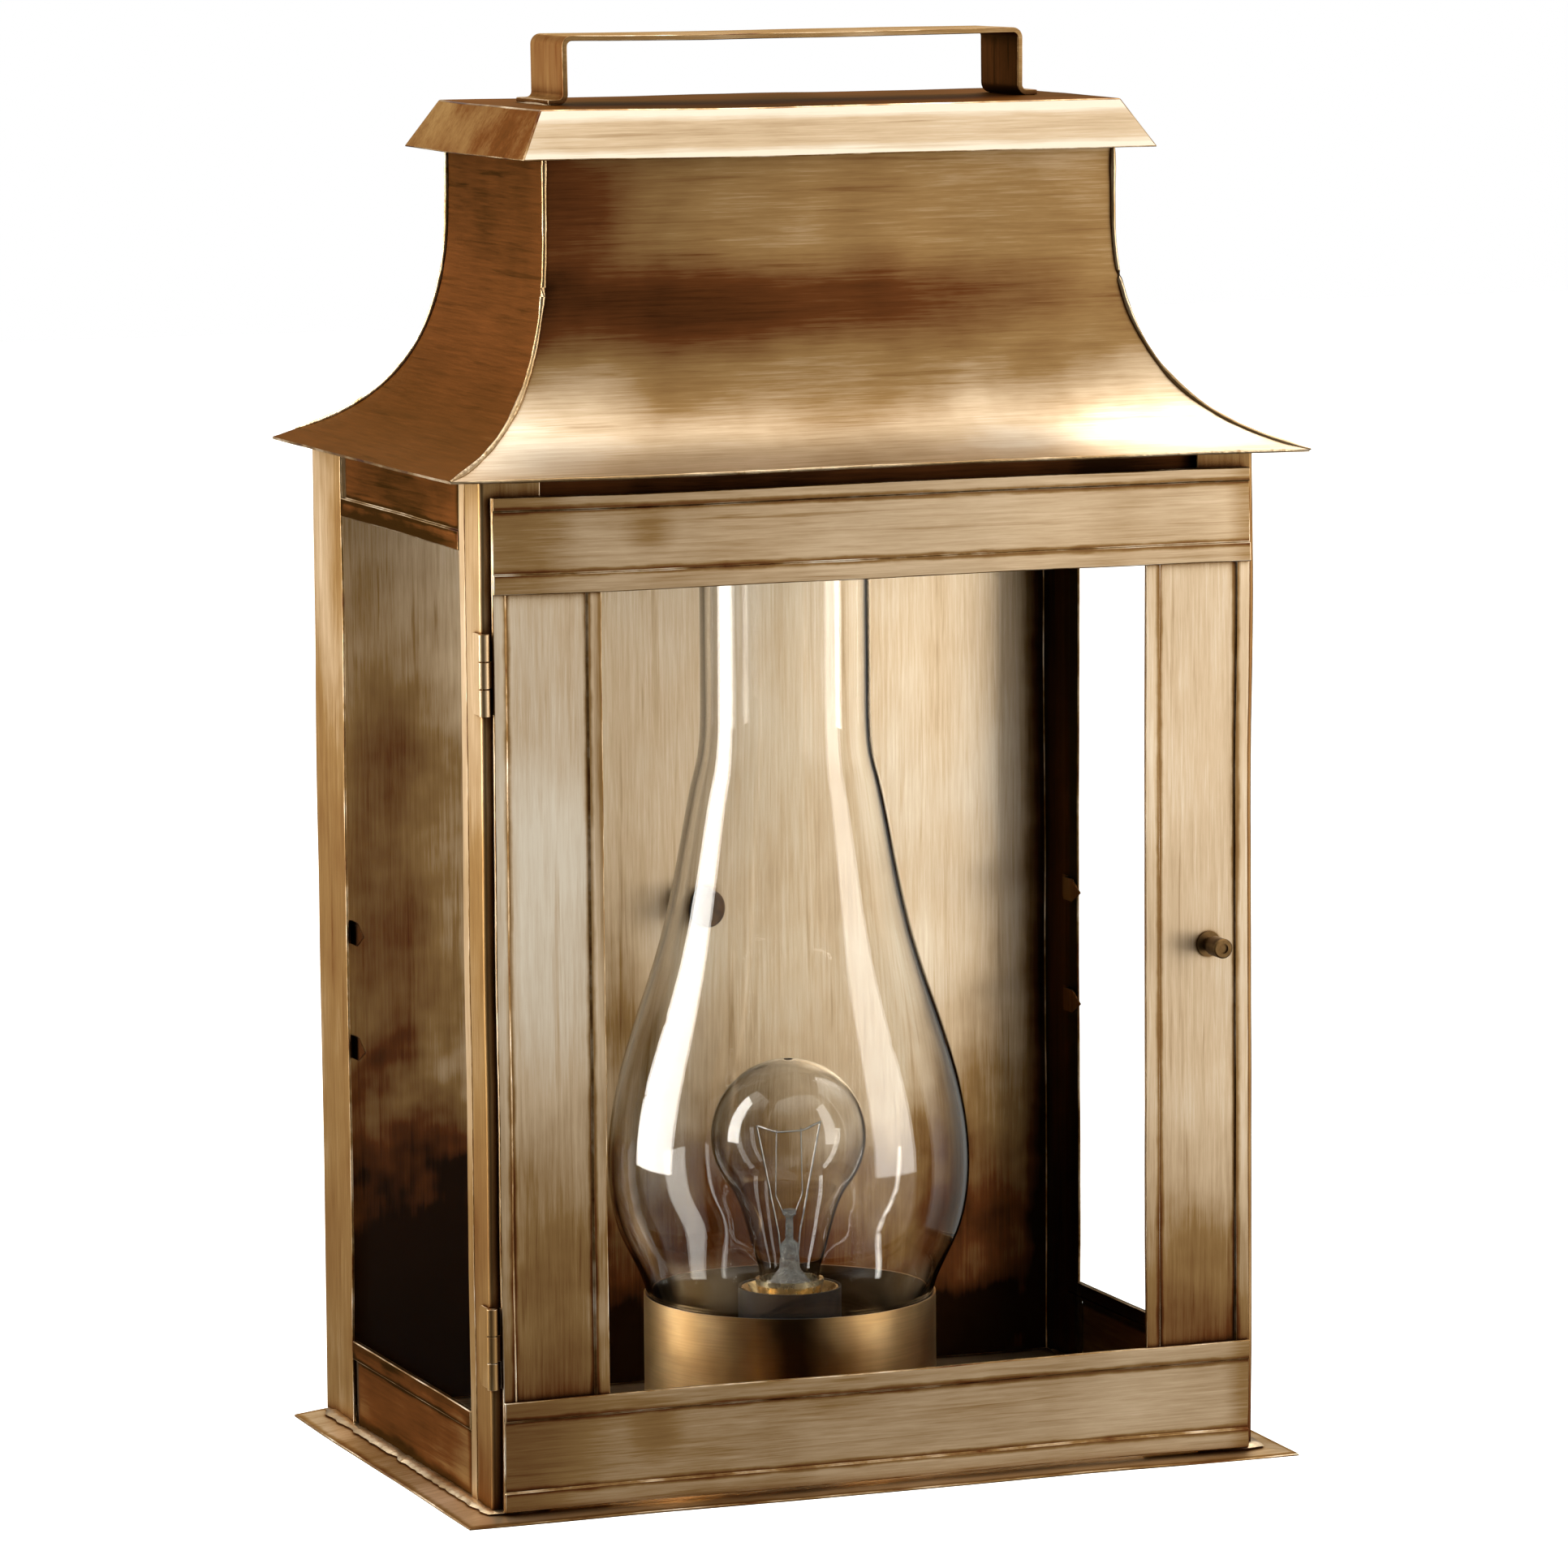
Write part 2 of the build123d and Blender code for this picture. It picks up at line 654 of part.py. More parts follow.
def make_chimney():
    """Blown glass chimney: straight foot, round bulge, long waist and upright mouth."""
    foot = cup_floor_top + chimney_seat_gap
    top = base_low + chimney_top_z
    bulge = base_low + chimney_bulge_z
    spread = chimney_bulge_radius - chimney_neck_radius

    def above(share):
        return bulge + share * (top - bulge)

    def profile(inset):
        low = (chimney_foot_radius - inset, 0, base_top + chimney_foot_height)
        high = (chimney_neck_radius - inset, 0, above(chimney_mouth_share))
        through = [low, (chimney_foot_radius + chimney_shoulder[0] * chimney_swell - inset, 0,
                         bulge - chimney_shoulder[1]), (chimney_bulge_radius - inset, 0, bulge)]
        for radius_share, height_share in chimney_slope:
            through.append((chimney_neck_radius + radius_share * spread - inset, 0,
                            above(height_share)))
        through.append(high)
        curve = Spline(*through, tangents=[(0, 0, 1), (0, 0, 1)])
        return low, curve, high

    low, outer, high = profile(0)
    low_in, inner, high_in = profile(chimney_wall)
    edges = [
        Line((low[0], 0, foot), low), outer, Line(high, (high[0], 0, top)),
        Line((high[0], 0, top), (high_in[0], 0, top)), Line((high_in[0], 0, top), high_in), inner,
        Line(low_in, (low_in[0], 0, foot)), Line((low_in[0], 0, foot), (low[0], 0, foot)),
    ]
    glass = revolve(make_face(edges), Axis.Z)
    middle = chimney_neck_radius - chimney_wall / 2
    bead = Pos(0, 0, top) * Torus(middle, chimney_wall / 2 + chimney_lip / 2)
    return Pos(0, lamp_y, 0) * (glass + bead)


# ---------------------------------------------------------------- socket and bulb
nut_seat = cup_floor_top - sheet
socket_low = cup_floor_top + nut_height
socket_top = socket_low + socket_height
bulb_low = socket_low + socket_floor + bulb_seat
bulb_high = bulb_low + bulb_length


def make_lamp_pipe():
    low = nut_seat - nut_height - seat_gap
    pipe = rod(pipe_radius, low, low + pipe_length, 0, lamp_y)
    return pipe - rod(pipe_bore, low - 1, low + pipe_length + 1, 0, lamp_y)


def make_pipe_nuts():
    hexagon = RegularPolygon(nut_across / 2, 6, major_radius=False)
    hexagon -= Circle(pipe_radius + nut_clearance)
    nut = extrude(hexagon, nut_height)
    return [Pos(0, lamp_y, nut_seat - nut_height) * nut, Pos(0, lamp_y, cup_floor_top) * nut]


def make_socket_body():
    floor = socket_low + socket_floor
    mouth = socket_top - socket_mouth
    inset, rise = socket_foot_round
    points = [
        (pipe_radius + nut_clearance, socket_low), (socket_radius - inset, socket_low),
        (socket_radius, socket_low + rise), (socket_radius, socket_top),
        (socket_radius - socket_rim, socket_top), (socket_bore, mouth),
        (socket_bore, floor), (pipe_radius + nut_clearance, floor),
    ]
    body = turned(points)
    for side in (-1, 1):
        pocket = Pos(side * socket_radius, 0, socket_low + terminal_height) * Rot(0, 90, 0)
        body -= pocket * Cylinder(terminal_radius + terminal_play, 2 * terminal_pocket)
    return Pos(0, lamp_y, 0) * body


def make_screw_shell():
    """Threaded liner of the socket, with its flared mouth and its seating flange."""
    low = socket_low + socket_floor + shell_lift
    mouth = socket_top - socket_mouth
    rim = socket_radius - socket_rim
    tube = shell_radius + shell_sheet
    lean = (rim - socket_bore) / socket_mouth
    flare_rise = socket_mouth - 4 * seat_gap
    flare_top = socket_bore - seat_gap + lean * flare_rise
    flange = (socket_bore - seat_gap, low + shell_flange)
    points = [
        (shell_radius, low), (flange[0], low), flange,
        (tube, flange[1]), (tube, mouth - 2 * seat_gap), (flare_top, mouth + flare_rise),
        (flare_top - flare_width, mouth + flare_rise), (shell_radius, mouth + 2 * seat_gap),
    ]
    return Pos(0, lamp_y, 0) * turned(points)


def make_centre_contact():
    """Spring tongue under the bulb's tip, standing on the socket's floor."""
    floor = socket_low + socket_floor
    top = bulb_low - bulb_contact_gap
    near, far = contact_reach
    y_range = (lamp_y - contact_width / 2, lamp_y + contact_width / 2)
    leaf = block((near, far), y_range, (top - shell_sheet, top))
    leg = block((near, near + shell_sheet), y_range, (floor, top))
    return leaf + leg


def make_terminal_screws():
    screws = []
    z = socket_low + terminal_height
    for side in (-1, 1):
        x = side * (socket_radius - terminal_pocket + terminal_head / 2)
        screw = Pos(x, lamp_y, z) * Rot(0, 90, 0) * Cylinder(terminal_radius, terminal_head)
        face = Pos(x + side * terminal_head / 2, lamp_y, z)
        screws.append(screw - face * Box(1.0, terminal_slot, 3 * terminal_radius))
    return screws


base_shell_low = bulb_low + bulb_base_lift
base_shell_top = base_shell_low + bulb_base_length


def make_bulb_base():
    """Thin metal screw cap with rounded thread rings."""
    crest, root = bulb_base_radius, bulb_base_radius - bulb_thread_depth
    outline = [(root, base_shell_low)]
    turns = int((bulb_base_length - 2 * bulb_rim_height) // bulb_thread_pitch)
    for turn in range(turns):
        z = base_shell_low + bulb_thread_start + turn * bulb_thread_pitch
        outline += [(crest, z + 0.25 * bulb_thread_pitch), (crest, z + 0.5 * bulb_thread_pitch),
                    (root, z + 0.75 * bulb_thread_pitch), (root, z + bulb_thread_pitch)]
    outline += [(crest, base_shell_top - bulb_rim_height), (crest, base_shell_top)]
    inner = root - bulb_base_sheet
    outline += [(inner, base_shell_top), (inner, base_shell_low)]
    return Pos(0, lamp_y, 0) * turned(outline)


def make_bulb_insulator():
    root = bulb_base_radius - bulb_thread_depth
    inner = root - bulb_base_sheet - seat_gap
    low = bulb_low + bulb_contact_height
    high = base_shell_low + insulator_lap
    return Pos(0, lamp_y, 0) * turned([
        (0, low), (bulb_contact_radius + insulator_land, low), (root, base_shell_low),
        (inner, base_shell_low), (inner, high), (0, high),
    ])


def make_bulb_contact():
    return rod(bulb_contact_radius, bulb_low, bulb_low + bulb_contact_height, 0, lamp_y)


def make_bulb_glass():
    """Pear-shaped envelope, open below where the screw cap closes it."""
    centre = bulb_high - bulb_radius
    turn_angle = radians(38)
    neck_low = base_shell_top - bulb_neck_lap
    neck = bulb_base_radius - bulb_thread_depth - bulb_base_sheet - bulb_neck_fit
    swell, shoulder_rise = bulb_shoulder

    def profile(inset):
        radius = bulb_radius - inset
        low = (neck - inset, 0, neck_low)
        collar = (neck - inset, 0, base_shell_top + bulb_collar)
        shoulder = (neck + swell - inset, 0, base_shell_top + shoulder_rise)
        tangent_point = (radius * cos(turn_angle), 0, centre - radius * sin(turn_angle))
        rise = Spline(
            collar, shoulder, tangent_point,
            tangents=[(0, 0, 1), (sin(turn_angle), 0, cos(turn_angle))],
        )
        dome = ThreePointArc(
            tangent_point, (radius * cos(radians(30)), 0, centre + radius * sin(radians(30))),
            (0, 0, centre + radius),
        )
        return low, [Line(low, collar), rise, dome], (0, 0, centre + radius)

    low, outer, top = profile(0)
    low_in, inner, top_in = profile(bulb_glass_wall)
    edges = outer + inner + [Line(top, top_in), Line(low_in, low)]
    return Pos(0, lamp_y, 0) * revolve(make_face(edges), Axis.Z)


stem_low = base_shell_top - stem_lap
stem_top = bulb_high - stem_drop
filament_z = bulb_high - filament_drop


def make_bulb_stem():
    """Glass flare, press and button that carry the wires."""
    cap_inside = bulb_base_radius - bulb_thread_depth - bulb_base_sheet
    neck = cap_inside - bulb_neck_fit - bulb_glass_wall - seat_gap
    neck_points = [(r, stem_low + rise) for r, rise in (press_low, press_high, rod_foot)]
    return Pos(0, lamp_y, 0) * turned([
        (0, stem_low), (neck, stem_low), (neck - stem_flare, stem_low + stem_rim), *neck_points,
        (rod_radius, stem_top - 1.5 * button_height), (button_radius, stem_top - button_height),
        (button_radius, stem_top), (0, stem_top),
    ])


def wire(points, radius, bend):
    """Round wire along a route with rounded corners."""
    route = FilletPolyline(*points, radius=bend)
    start = Plane(origin=route @ 0, z_dir=route % 0)
    return sweep(start * Circle(radius), path=route)


def make_support_wires():
    """Two lead wires out of the press, and two hooks out of the button at the stem's top."""
    press_middle = (press_low[0] + press_high[0]) / 2
    half_way = stem_low + (press_low[1] + press_high[1]) / 2
    wires = []
    for side in (-1, 1):
        wires.append(wire([
            (side * (press_middle - lead_radius / 2), lamp_y, half_way),
            (side * press_low[0] * 1.1, lamp_y, half_way + press_low[1]),
            (side * filament_half, lamp_y, filament_z),
        ], lead_radius, 6))
    hook = filament_half * 0.4
    for side in (-1, 1):
        wires.append(wire([
            (side * button_radius, lamp_y, stem_top - button_height / 2),
            (side * hook * 1.06, lamp_y, stem_top + 3 * button_height),
            (side * hook * 0.96, lamp_y, filament_z - 2.0),
        ], support_radius, 3))
    return wires


def make_filament():
    y = lamp_y - filament_offset
    low = filament_z - filament_sag
    hook = filament_half * 0.4
    return wire([
        (-filament_half, y, filament_z), (-hook, y, low), (hook, y, low),
        (filament_half, y, filament_z),
    ], filament_radius, 8)


# ---------------------------------------------------------------- mounting parts
def make_mounting_knob():
    seat = -sheet - seal_thickness
    knob = rod_y(knob_radius, seat, seat - knob_length)
    knob = chamfer(knob.edges().filter_by(GeomType.CIRCLE), knob_chamfer)
    return knob - rod_y(knob_thread_radius, seat + 1, seat - knob_thread_depth)


def make_mounting_seal():
    seal = rod_y(seal_radius, -sheet, -sheet - seal_thickness)
    return seal - rod_y(stud_hole_radius, 0, -2 * sheet - seal_thickness)


def make_wire_bushing():
    z = base_low + wire_height
    body = rod_y(bushing_radius - bushing_fit, 0, -bushing_length, z=z)
    body += rod_y(bushing_flange, -sheet, -sheet - bushing_flange_thickness, z=z)
    return body - rod_y(wire_hole_radius, 1, -bushing_length - 1, z=z)


# ---------------------------------------------------------------- write every node
def group(solids):
    return Compound(children=list(solids))


save(make_base_plate(), "base_plate")
save(make_back_plate(), "back_plate")
post = make_front_post()
save(post, "front_post_left")
save(cut_latch_slot(mirror(post, about=Plane.YZ)), "front_post_right")
both_sides(make_glazing_channel(), "glazing_channel")
both_sides(make_side_rail((base_top, side_bottom_top),
                          (side_bottom_top - hem_width, side_bottom_top)), "side_bottom_rail")
both_sides(make_side_rail((side_top_low, wall_top),
                          (side_top_low, side_top_low + hem_width)), "side_top_rail")
both_sides(block(glass_x, side_glass_y, side_glass_z), "side_glass")
side_clips = group(make_side_clips())
both_sides(side_clips, "side_glass_clips")
save(make_header(), "header")
save(make_top_frame(), "top_frame")
for name, panel in make_roof().items():
    save(panel, name)
save(make_cap(), "cap")
save(group(make_cap_brackets()), "cap_brackets")
save(make_handle(), "handle")

save(make_door_stile(-1), "door_stile_left")
save(make_door_stile(1), "door_stile_right")
save(make_door_rail((door_low, opening_low), [
    (opening_low - hem_width, opening_low), (door_low, door_low + hem_width)]), "door_bottom_rail")
save(make_door_rail((opening_high, door_high), [
    (opening_high, opening_high + hem_width), (door_high - door_edge_hem, door_high)]),
    "door_top_rail")
save(block((-door_glass_half, door_glass_half), (stile_back, stile_back + glass_thickness),
           door_glass_z), "door_glass")
save(group(make_door_clips()), "door_glass_clips")
for place, middle in (("upper", eave_z - hinge_drop), ("lower", base_low + hinge_lift)):
    post_leaf, door_leaf, pin = make_hinge(middle)
    save(post_leaf, f"hinge_post_leaf_{place}")
    save(door_leaf, f"hinge_door_leaf_{place}")
    save(pin, f"hinge_pin_{place}")
for name, piece in make_latch().items():
    save(piece, name)

save(make_cup_ring(), "chimney_cup_ring")
save(make_cup_floor(), "chimney_cup_floor")
save(make_chimney(), "chimney_glass")
save(make_lamp_pipe(), "lamp_pipe")
save(group(make_pipe_nuts()), "pipe_nuts")
save(make_socket_body(), "socket_body")
save(make_screw_shell(), "socket_screw_shell")
save(make_centre_contact(), "socket_centre_contact")
save(group(make_terminal_screws()), "socket_terminal_screws")
save(make_bulb_glass(), "bulb_glass")
save(make_bulb_base(), "bulb_screw_cap")
save(make_bulb_insulator(), "bulb_insulator")
save(make_bulb_contact(), "bulb_contact")
save(make_bulb_stem(), "bulb_stem")
save(group(make_support_wires()), "bulb_support_wires")
save(make_filament(), "bulb_filament")

save(make_mounting_knob(), "mounting_knob")
save(make_mounting_seal(), "mounting_seal")
save(make_wire_bushing(), "wire_bushing")
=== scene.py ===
import json
import math
from math import cos, pi, radians, sin

import bmesh
import bpy
import numpy as np
from bpy.props import FloatProperty, FloatVectorProperty, IntProperty, PointerProperty
from mathutils import Matrix, Vector, noise


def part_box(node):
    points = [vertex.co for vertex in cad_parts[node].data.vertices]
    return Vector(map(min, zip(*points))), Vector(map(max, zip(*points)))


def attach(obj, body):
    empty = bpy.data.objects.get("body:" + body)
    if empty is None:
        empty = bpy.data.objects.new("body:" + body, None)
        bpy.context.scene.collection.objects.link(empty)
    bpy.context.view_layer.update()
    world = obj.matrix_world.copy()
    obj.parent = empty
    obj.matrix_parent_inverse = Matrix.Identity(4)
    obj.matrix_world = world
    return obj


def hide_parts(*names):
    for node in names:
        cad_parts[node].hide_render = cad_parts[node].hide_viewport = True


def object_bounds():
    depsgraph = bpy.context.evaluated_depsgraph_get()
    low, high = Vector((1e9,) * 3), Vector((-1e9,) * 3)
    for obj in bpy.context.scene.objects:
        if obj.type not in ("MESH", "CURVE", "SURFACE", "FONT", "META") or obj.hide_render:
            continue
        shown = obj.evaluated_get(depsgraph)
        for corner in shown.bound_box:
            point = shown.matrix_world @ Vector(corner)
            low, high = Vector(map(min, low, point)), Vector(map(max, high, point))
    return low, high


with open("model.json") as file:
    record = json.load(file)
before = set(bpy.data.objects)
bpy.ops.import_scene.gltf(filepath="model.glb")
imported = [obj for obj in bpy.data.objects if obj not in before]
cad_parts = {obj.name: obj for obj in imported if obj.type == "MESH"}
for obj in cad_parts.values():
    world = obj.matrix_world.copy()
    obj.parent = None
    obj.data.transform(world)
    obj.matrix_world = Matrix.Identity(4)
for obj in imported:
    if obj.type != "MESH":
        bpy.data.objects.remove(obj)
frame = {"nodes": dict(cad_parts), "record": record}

bl_info = {
    "name": "Brass Wall Lantern",
    "version": (1, 0, 0),
    "blender": (4, 5, 0),
    "location": "3D Viewport > Sidebar > Lantern",
    "description": "Finishes a folded brass wall lantern round its fixed frame",
    "category": "Object",
}

# ---------------------------------------------------------------- places read from the frame
CAD_LOW, CAD_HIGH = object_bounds()
MIDDLE = (CAD_LOW + CAD_HIGH) / 2
MM = 0.001
SIDES = ((-1, "left"), (1, "right"))        # way along X, and name


def low(node):
    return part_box(node)[0]


def high(node):
    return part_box(node)[1]


def middle(node):
    return (low(node) + high(node)) / 2


LAMP = middle("chimney_glass")              # a point on the lamp's axis
WALL_X = high("front_post_right").x         # outer face of the side walls
FRONT_Y = low("front_post_left").y          # front face of the corner posts
BASE_TOP = low("front_post_left").z         # the walls stand on the base at this height
SHEET = high("top_frame").z - low("top_frame").z    # thickness of the folded sheet


# ---------------------------------------------------------------- sizes and colours to change
class LanternSizes(bpy.types.PropertyGroup):
    """Small sizes of the finished sheet work."""

    fold_radius: FloatProperty(
        name="Fold radius", description="Rounding of folded and cut edges",
        default=0.0004, min=0.0, unit="LENGTH")
    hem_radius: FloatProperty(
        name="Hem radius", description="Rounding of the door's and rails' folded hems",
        default=0.0006, min=0.0, unit="LENGTH")
    rail_hem: FloatProperty(
        name="Rail hem", description="Width of the hems along the glazed edges of the rails",
        default=0.0072, min=0.0, unit="LENGTH")
    edge_hem: FloatProperty(
        name="Edge hem", description="Width of the hems along the door's outer edges",
        default=0.0050, min=0.0, unit="LENGTH")
    stile_hem: FloatProperty(
        name="Stile hem", description="Width of the hems along the glazed edges of the stiles",
        default=0.0055, min=0.0, unit="LENGTH")
    wave_height: FloatProperty(
        name="Wave height", description="How far hand folding has pulled the sheet out of flat",
        default=0.0007, min=0.0, unit="LENGTH")
    wave_length: FloatProperty(
        name="Wave length", description="Distance between such waves",
        default=0.085, min=0.01, unit="LENGTH")
    cell: FloatProperty(
        name="Cell", description="Spacing of the mesh that carries the waves",
        default=0.012, min=0.004, unit="LENGTH")
    seam_width: FloatProperty(
        name="Seam width", description="Width of the soldered seams along the roof's hips",
        default=0.0019, min=0.0, unit="LENGTH")
    base_seam_width: FloatProperty(
        name="Base seam width", description="Width of the solder round the foot of the walls",
        default=0.0064, min=0.0, unit="LENGTH")
    filling_thickness: FloatProperty(
        name="Filling thickness", description="Thickness of the solder behind the side rails",
        default=0.0014, min=0.0001, unit="LENGTH")
    chimney_steps: IntProperty(
        name="Chimney steps", description="Faces round the chimney", default=192, min=24)
    bulb_steps: IntProperty(
        name="Bulb steps", description="Faces round the bulb", default=128, min=24)
    roof_rise: FloatProperty(
        name="Roof rise", description="Height of the curved part of the roof above the eave",
        default=0.0868, unit="LENGTH")
    neck_pull: FloatProperty(
        name="Neck pull", description="How long the roof's curve stays upright",
        default=0.0456, unit="LENGTH")
    eave_pull: FloatProperty(
        name="Eave pull", description="How long the roof's curve stays flat",
        default=0.0404, unit="LENGTH")
    eave_slope: FloatProperty(
        name="Eave slope", description="Slope of the roof at its eave",
        default=radians(14), subtype="ANGLE")


class LanternColours(bpy.types.PropertyGroup):
    """Colours of the finishes."""

    bare_brass: FloatVectorProperty(
        name="Bare brass", description="Brass rubbed bare",
        default=(0.80, 0.71, 0.565), subtype="COLOR", size=3, min=0, max=1)
    pale_brass: FloatVectorProperty(
        name="Pale brass", description="Brass where the brushing has laid it bare",
        default=(0.58, 0.435, 0.275), subtype="COLOR", size=3, min=0, max=1)
    honey_brass: FloatVectorProperty(
        name="Honey brass", description="Brass under thin patina",
        default=(0.27, 0.16, 0.06), subtype="COLOR", size=3, min=0, max=1)
    umber: FloatVectorProperty(
        name="Umber", description="Dark patina",
        default=(0.11, 0.036, 0.010), subtype="COLOR", size=3, min=0, max=1)
    # soot is also the tone that painted shade reaches in inside corners and grooves, and across the
    # chimney ring's front and inside
    soot: FloatVectorProperty(
        name="Soot", description="Blackened patina in grooves",
        default=(0.016, 0.006, 0.002), subtype="COLOR", size=3, min=0, max=1)
    solder: FloatVectorProperty(
        name="Solder", description="Rubbed solder and worn edges",
        default=(0.62, 0.49, 0.32), subtype="COLOR", size=3, min=0, max=1)
    porcelain: FloatVectorProperty(
        name="Porcelain", description="Dark body of the socket",
        default=(0.004, 0.003, 0.003), subtype="COLOR", size=3, min=0, max=1)
    clear: FloatVectorProperty(
        name="Clear glass", description="Tint of the panes and the chimney",
        default=(0.985, 0.985, 0.975), subtype="COLOR", size=3, min=0, max=1)
    paper: FloatVectorProperty(
        name="Paper", description="Floor under the lantern",
        default=(0.95, 0.95, 0.94), subtype="COLOR", size=3, min=0, max=1)


class StudioSettings(bpy.types.PropertyGroup):
    """Camera and lights."""

    azimuth: FloatProperty(
        name="Azimuth", description="Camera's side angle, to the left when negative",
        default=radians(-20.79), subtype="ANGLE")
    elevation: FloatProperty(
        name="Elevation", description="Camera's height angle",
        default=radians(7.35), subtype="ANGLE")
    roll: FloatProperty(
        name="Roll", description="Camera's tilt about its own axis",
        default=radians(-0.41), subtype="ANGLE")
    distance: FloatProperty(
        name="Distance", description="Camera to the point it aims at",
        default=2.961, unit="LENGTH")
    aim: FloatVectorProperty(
        name="Aim", description="Point it aims at, from the middle of the lantern",
        default=(0.0093, 0.0275, -0.0197), subtype="TRANSLATION", size=3)
    lens: FloatProperty(
        name="Lens", description="Focal length of the camera", default=177.1, unit="CAMERA")
    drop: FloatProperty(
        name="Floor drop", description="Floor below the lantern, which hangs on a wall",
        default=0.45, unit="LENGTH")
    ambient: FloatProperty(
        name="Ambient", description="Strength of the studio's overall light", default=1.0)


def sizes():
    return bpy.context.scene.lantern_sizes


def colours():
    return bpy.context.scene.lantern_colours


# ---------------------------------------------------------------- shader helpers
MIX_FIRST, MIX_SECOND, MIX_RESULT = 6, 7, 2     # colour sockets of a Mix node


def new_node(tree, kind, **values):
    """Adds a shader node; values are its own settings, or its inputs by name."""
    node = tree.nodes.new("ShaderNode" + kind)
    for key, value in values.items():
        if hasattr(node, key):
            setattr(node, key, value)
        else:
            node.inputs[key.replace("_", " ")].default_value = value
    return node


def feed(tree, socket, value):
    """Links an output to a socket, or sets the socket's own value."""
    if isinstance(value, bpy.types.NodeSocket):
        tree.links.new(value, socket)
    else:
        socket.default_value = value


def maths(tree, operation, first, second=0.0, third=0.0):
    """Result of a Math node; MULTIPLY_ADD gives first * second + third."""
    node = new_node(tree, "Math", operation=operation)
    for socket, value in zip(node.inputs, (first, second, third)):
        feed(tree, socket, value)
    return node.outputs[0]


def vector_maths(tree, operation, first, second=(0, 0, 0), output=0):
    """Result of a Vector Math node; output 1 is its number, as for a length."""
    node = new_node(tree, "VectorMath", operation=operation)
    feed(tree, node.inputs[0], first)
    feed(tree, node.inputs[1], second)
    return node.outputs[output]


def ramp(tree, value, start, end, to_low=0.0, to_high=1.0):
    """Smooth step of a value from start to end."""
    node = new_node(tree, "MapRange", interpolation_type="SMOOTHSTEP")
    feed(tree, node.inputs["Value"], value)
    node.inputs["From Min"].default_value = start
    node.inputs["From Max"].default_value = end
    node.inputs["To Min"].default_value = to_low
    node.inputs["To Max"].default_value = to_high
    return node.outputs[0]


def blend_colours(tree, factor, first, second, how="MIX"):
    """Colour between first at factor 0 and second at factor 1."""
    node = new_node(tree, "Mix", data_type="RGBA", blend_type=how)
    feed(tree, node.inputs[0], factor)
    for index, value in ((MIX_FIRST, first), (MIX_SECOND, second)):
        if not isinstance(value, bpy.types.NodeSocket):
            value = (*value, 1.0)
        feed(tree, node.inputs[index], value)
    return node.outputs[MIX_RESULT]


def split_axes(tree, position):
    """The X, Y and Z outputs of a position."""
    split = new_node(tree, "SeparateXYZ")
    tree.links.new(position, split.inputs[0])
    return split.outputs


def clouds(tree, position, scale, detail=3.0, roughness=0.55, distortion=0.0):
    """Noise over a position; scale is one number, or one for each axis."""
    if not isinstance(scale, (int, float)):
        position = vector_maths(tree, "MULTIPLY", position, scale)
        scale = 1.0
    node = new_node(tree, "TexNoise", Scale=scale, Detail=detail, Roughness=roughness,
                    Distortion=distortion)
    tree.links.new(position, node.inputs["Vector"])
    return node.outputs[0]


def start_material(name):
    """A fresh material with its tree, its Principled shader and its object position."""
    material = bpy.data.materials.new(name)
    material.use_nodes = True
    tree = material.node_tree
    shader = next(n for n in tree.nodes if n.type == "BSDF_PRINCIPLED")
    position = new_node(tree, "TexCoord").outputs["Object"]
    return material, tree, shader, position


def around_half(tree, noise_value, amount, level):
    """Adds a noise to a level so that it raises and lowers it equally."""
    return maths(tree, "MULTIPLY_ADD", maths(tree, "SUBTRACT", noise_value, 0.5), amount, level)


def add_relief(tree, shader, height, distance, strength=1.0):
    """Gives a shader a fine relief too small for the mesh."""
    bump = new_node(tree, "Bump")
    bump.inputs["Strength"].default_value = strength
    bump.inputs["Distance"].default_value = distance
    tree.links.new(height, bump.inputs["Height"])
    tree.links.new(bump.outputs[0], shader.inputs["Normal"])


# ---------------------------------------------------------------- brass finishes
GRAIN = {                       # cycles per metre along X, Y and Z of each brushing direction
    "across": (26.0, 800.0, 900.0),
    "deep": (800.0, 26.0, 900.0),
    "upright": (800.0, 800.0, 26.0),
}
STROKE = {                      # the same for the broad strokes of the brush
    "across": (9.0, 60.0, 38.0),
    "deep": (60.0, 9.0, 38.0),
    "upright": (36.0, 36.0, 8.0),
}

# How far each layer raises or lowers the wear of brushed brass, which runs from 0 to 1
CLOUD_CHANGE = 2.2
STROKE_CHANGE = 1.2
FINE_CHANGE = 0.34
SCRATCH_LOSS = 0.12
# The two losses below darken with painted shade: in inside corners and in the grooves beside hems
CORNER_SHADE_LOSS = 0.46
GROOVE_SHADE_LOSS = 0.34
BORDER_LOSS = 0.24

CORNER_SHADE_REACH = 0.006            # how far the painted shade, with some grime, spreads out of an inside corner
GROOVE_WANDER = 0.0018          # how unevenly the painted shade line in the groove beside a hem runs


def border_dirt(tree, position, node, axes, width):
    """1 at the borders of a node's box along the given axes, fading to 0 over width."""
    places = split_axes(tree, position)
    nearest = None
    for axis in axes:
        index = "XYZ".index(axis)
        from_low = maths(tree, "SUBTRACT", places[index], low(node)[index])
        from_high = maths(tree, "SUBTRACT", high(node)[index], places[index])
        near = maths(tree, "MINIMUM", from_low, from_high)
        nearest = near if nearest is None else maths(tree, "MINIMUM", nearest, near)
    uneven = clouds(tree, position, 60.0, detail=4.0)
    shifted = maths(tree, "MULTIPLY_ADD", uneven, -width, nearest)
    return ramp(tree, shifted, -0.25 * width, 0.6 * width, 1.0, 0.0)


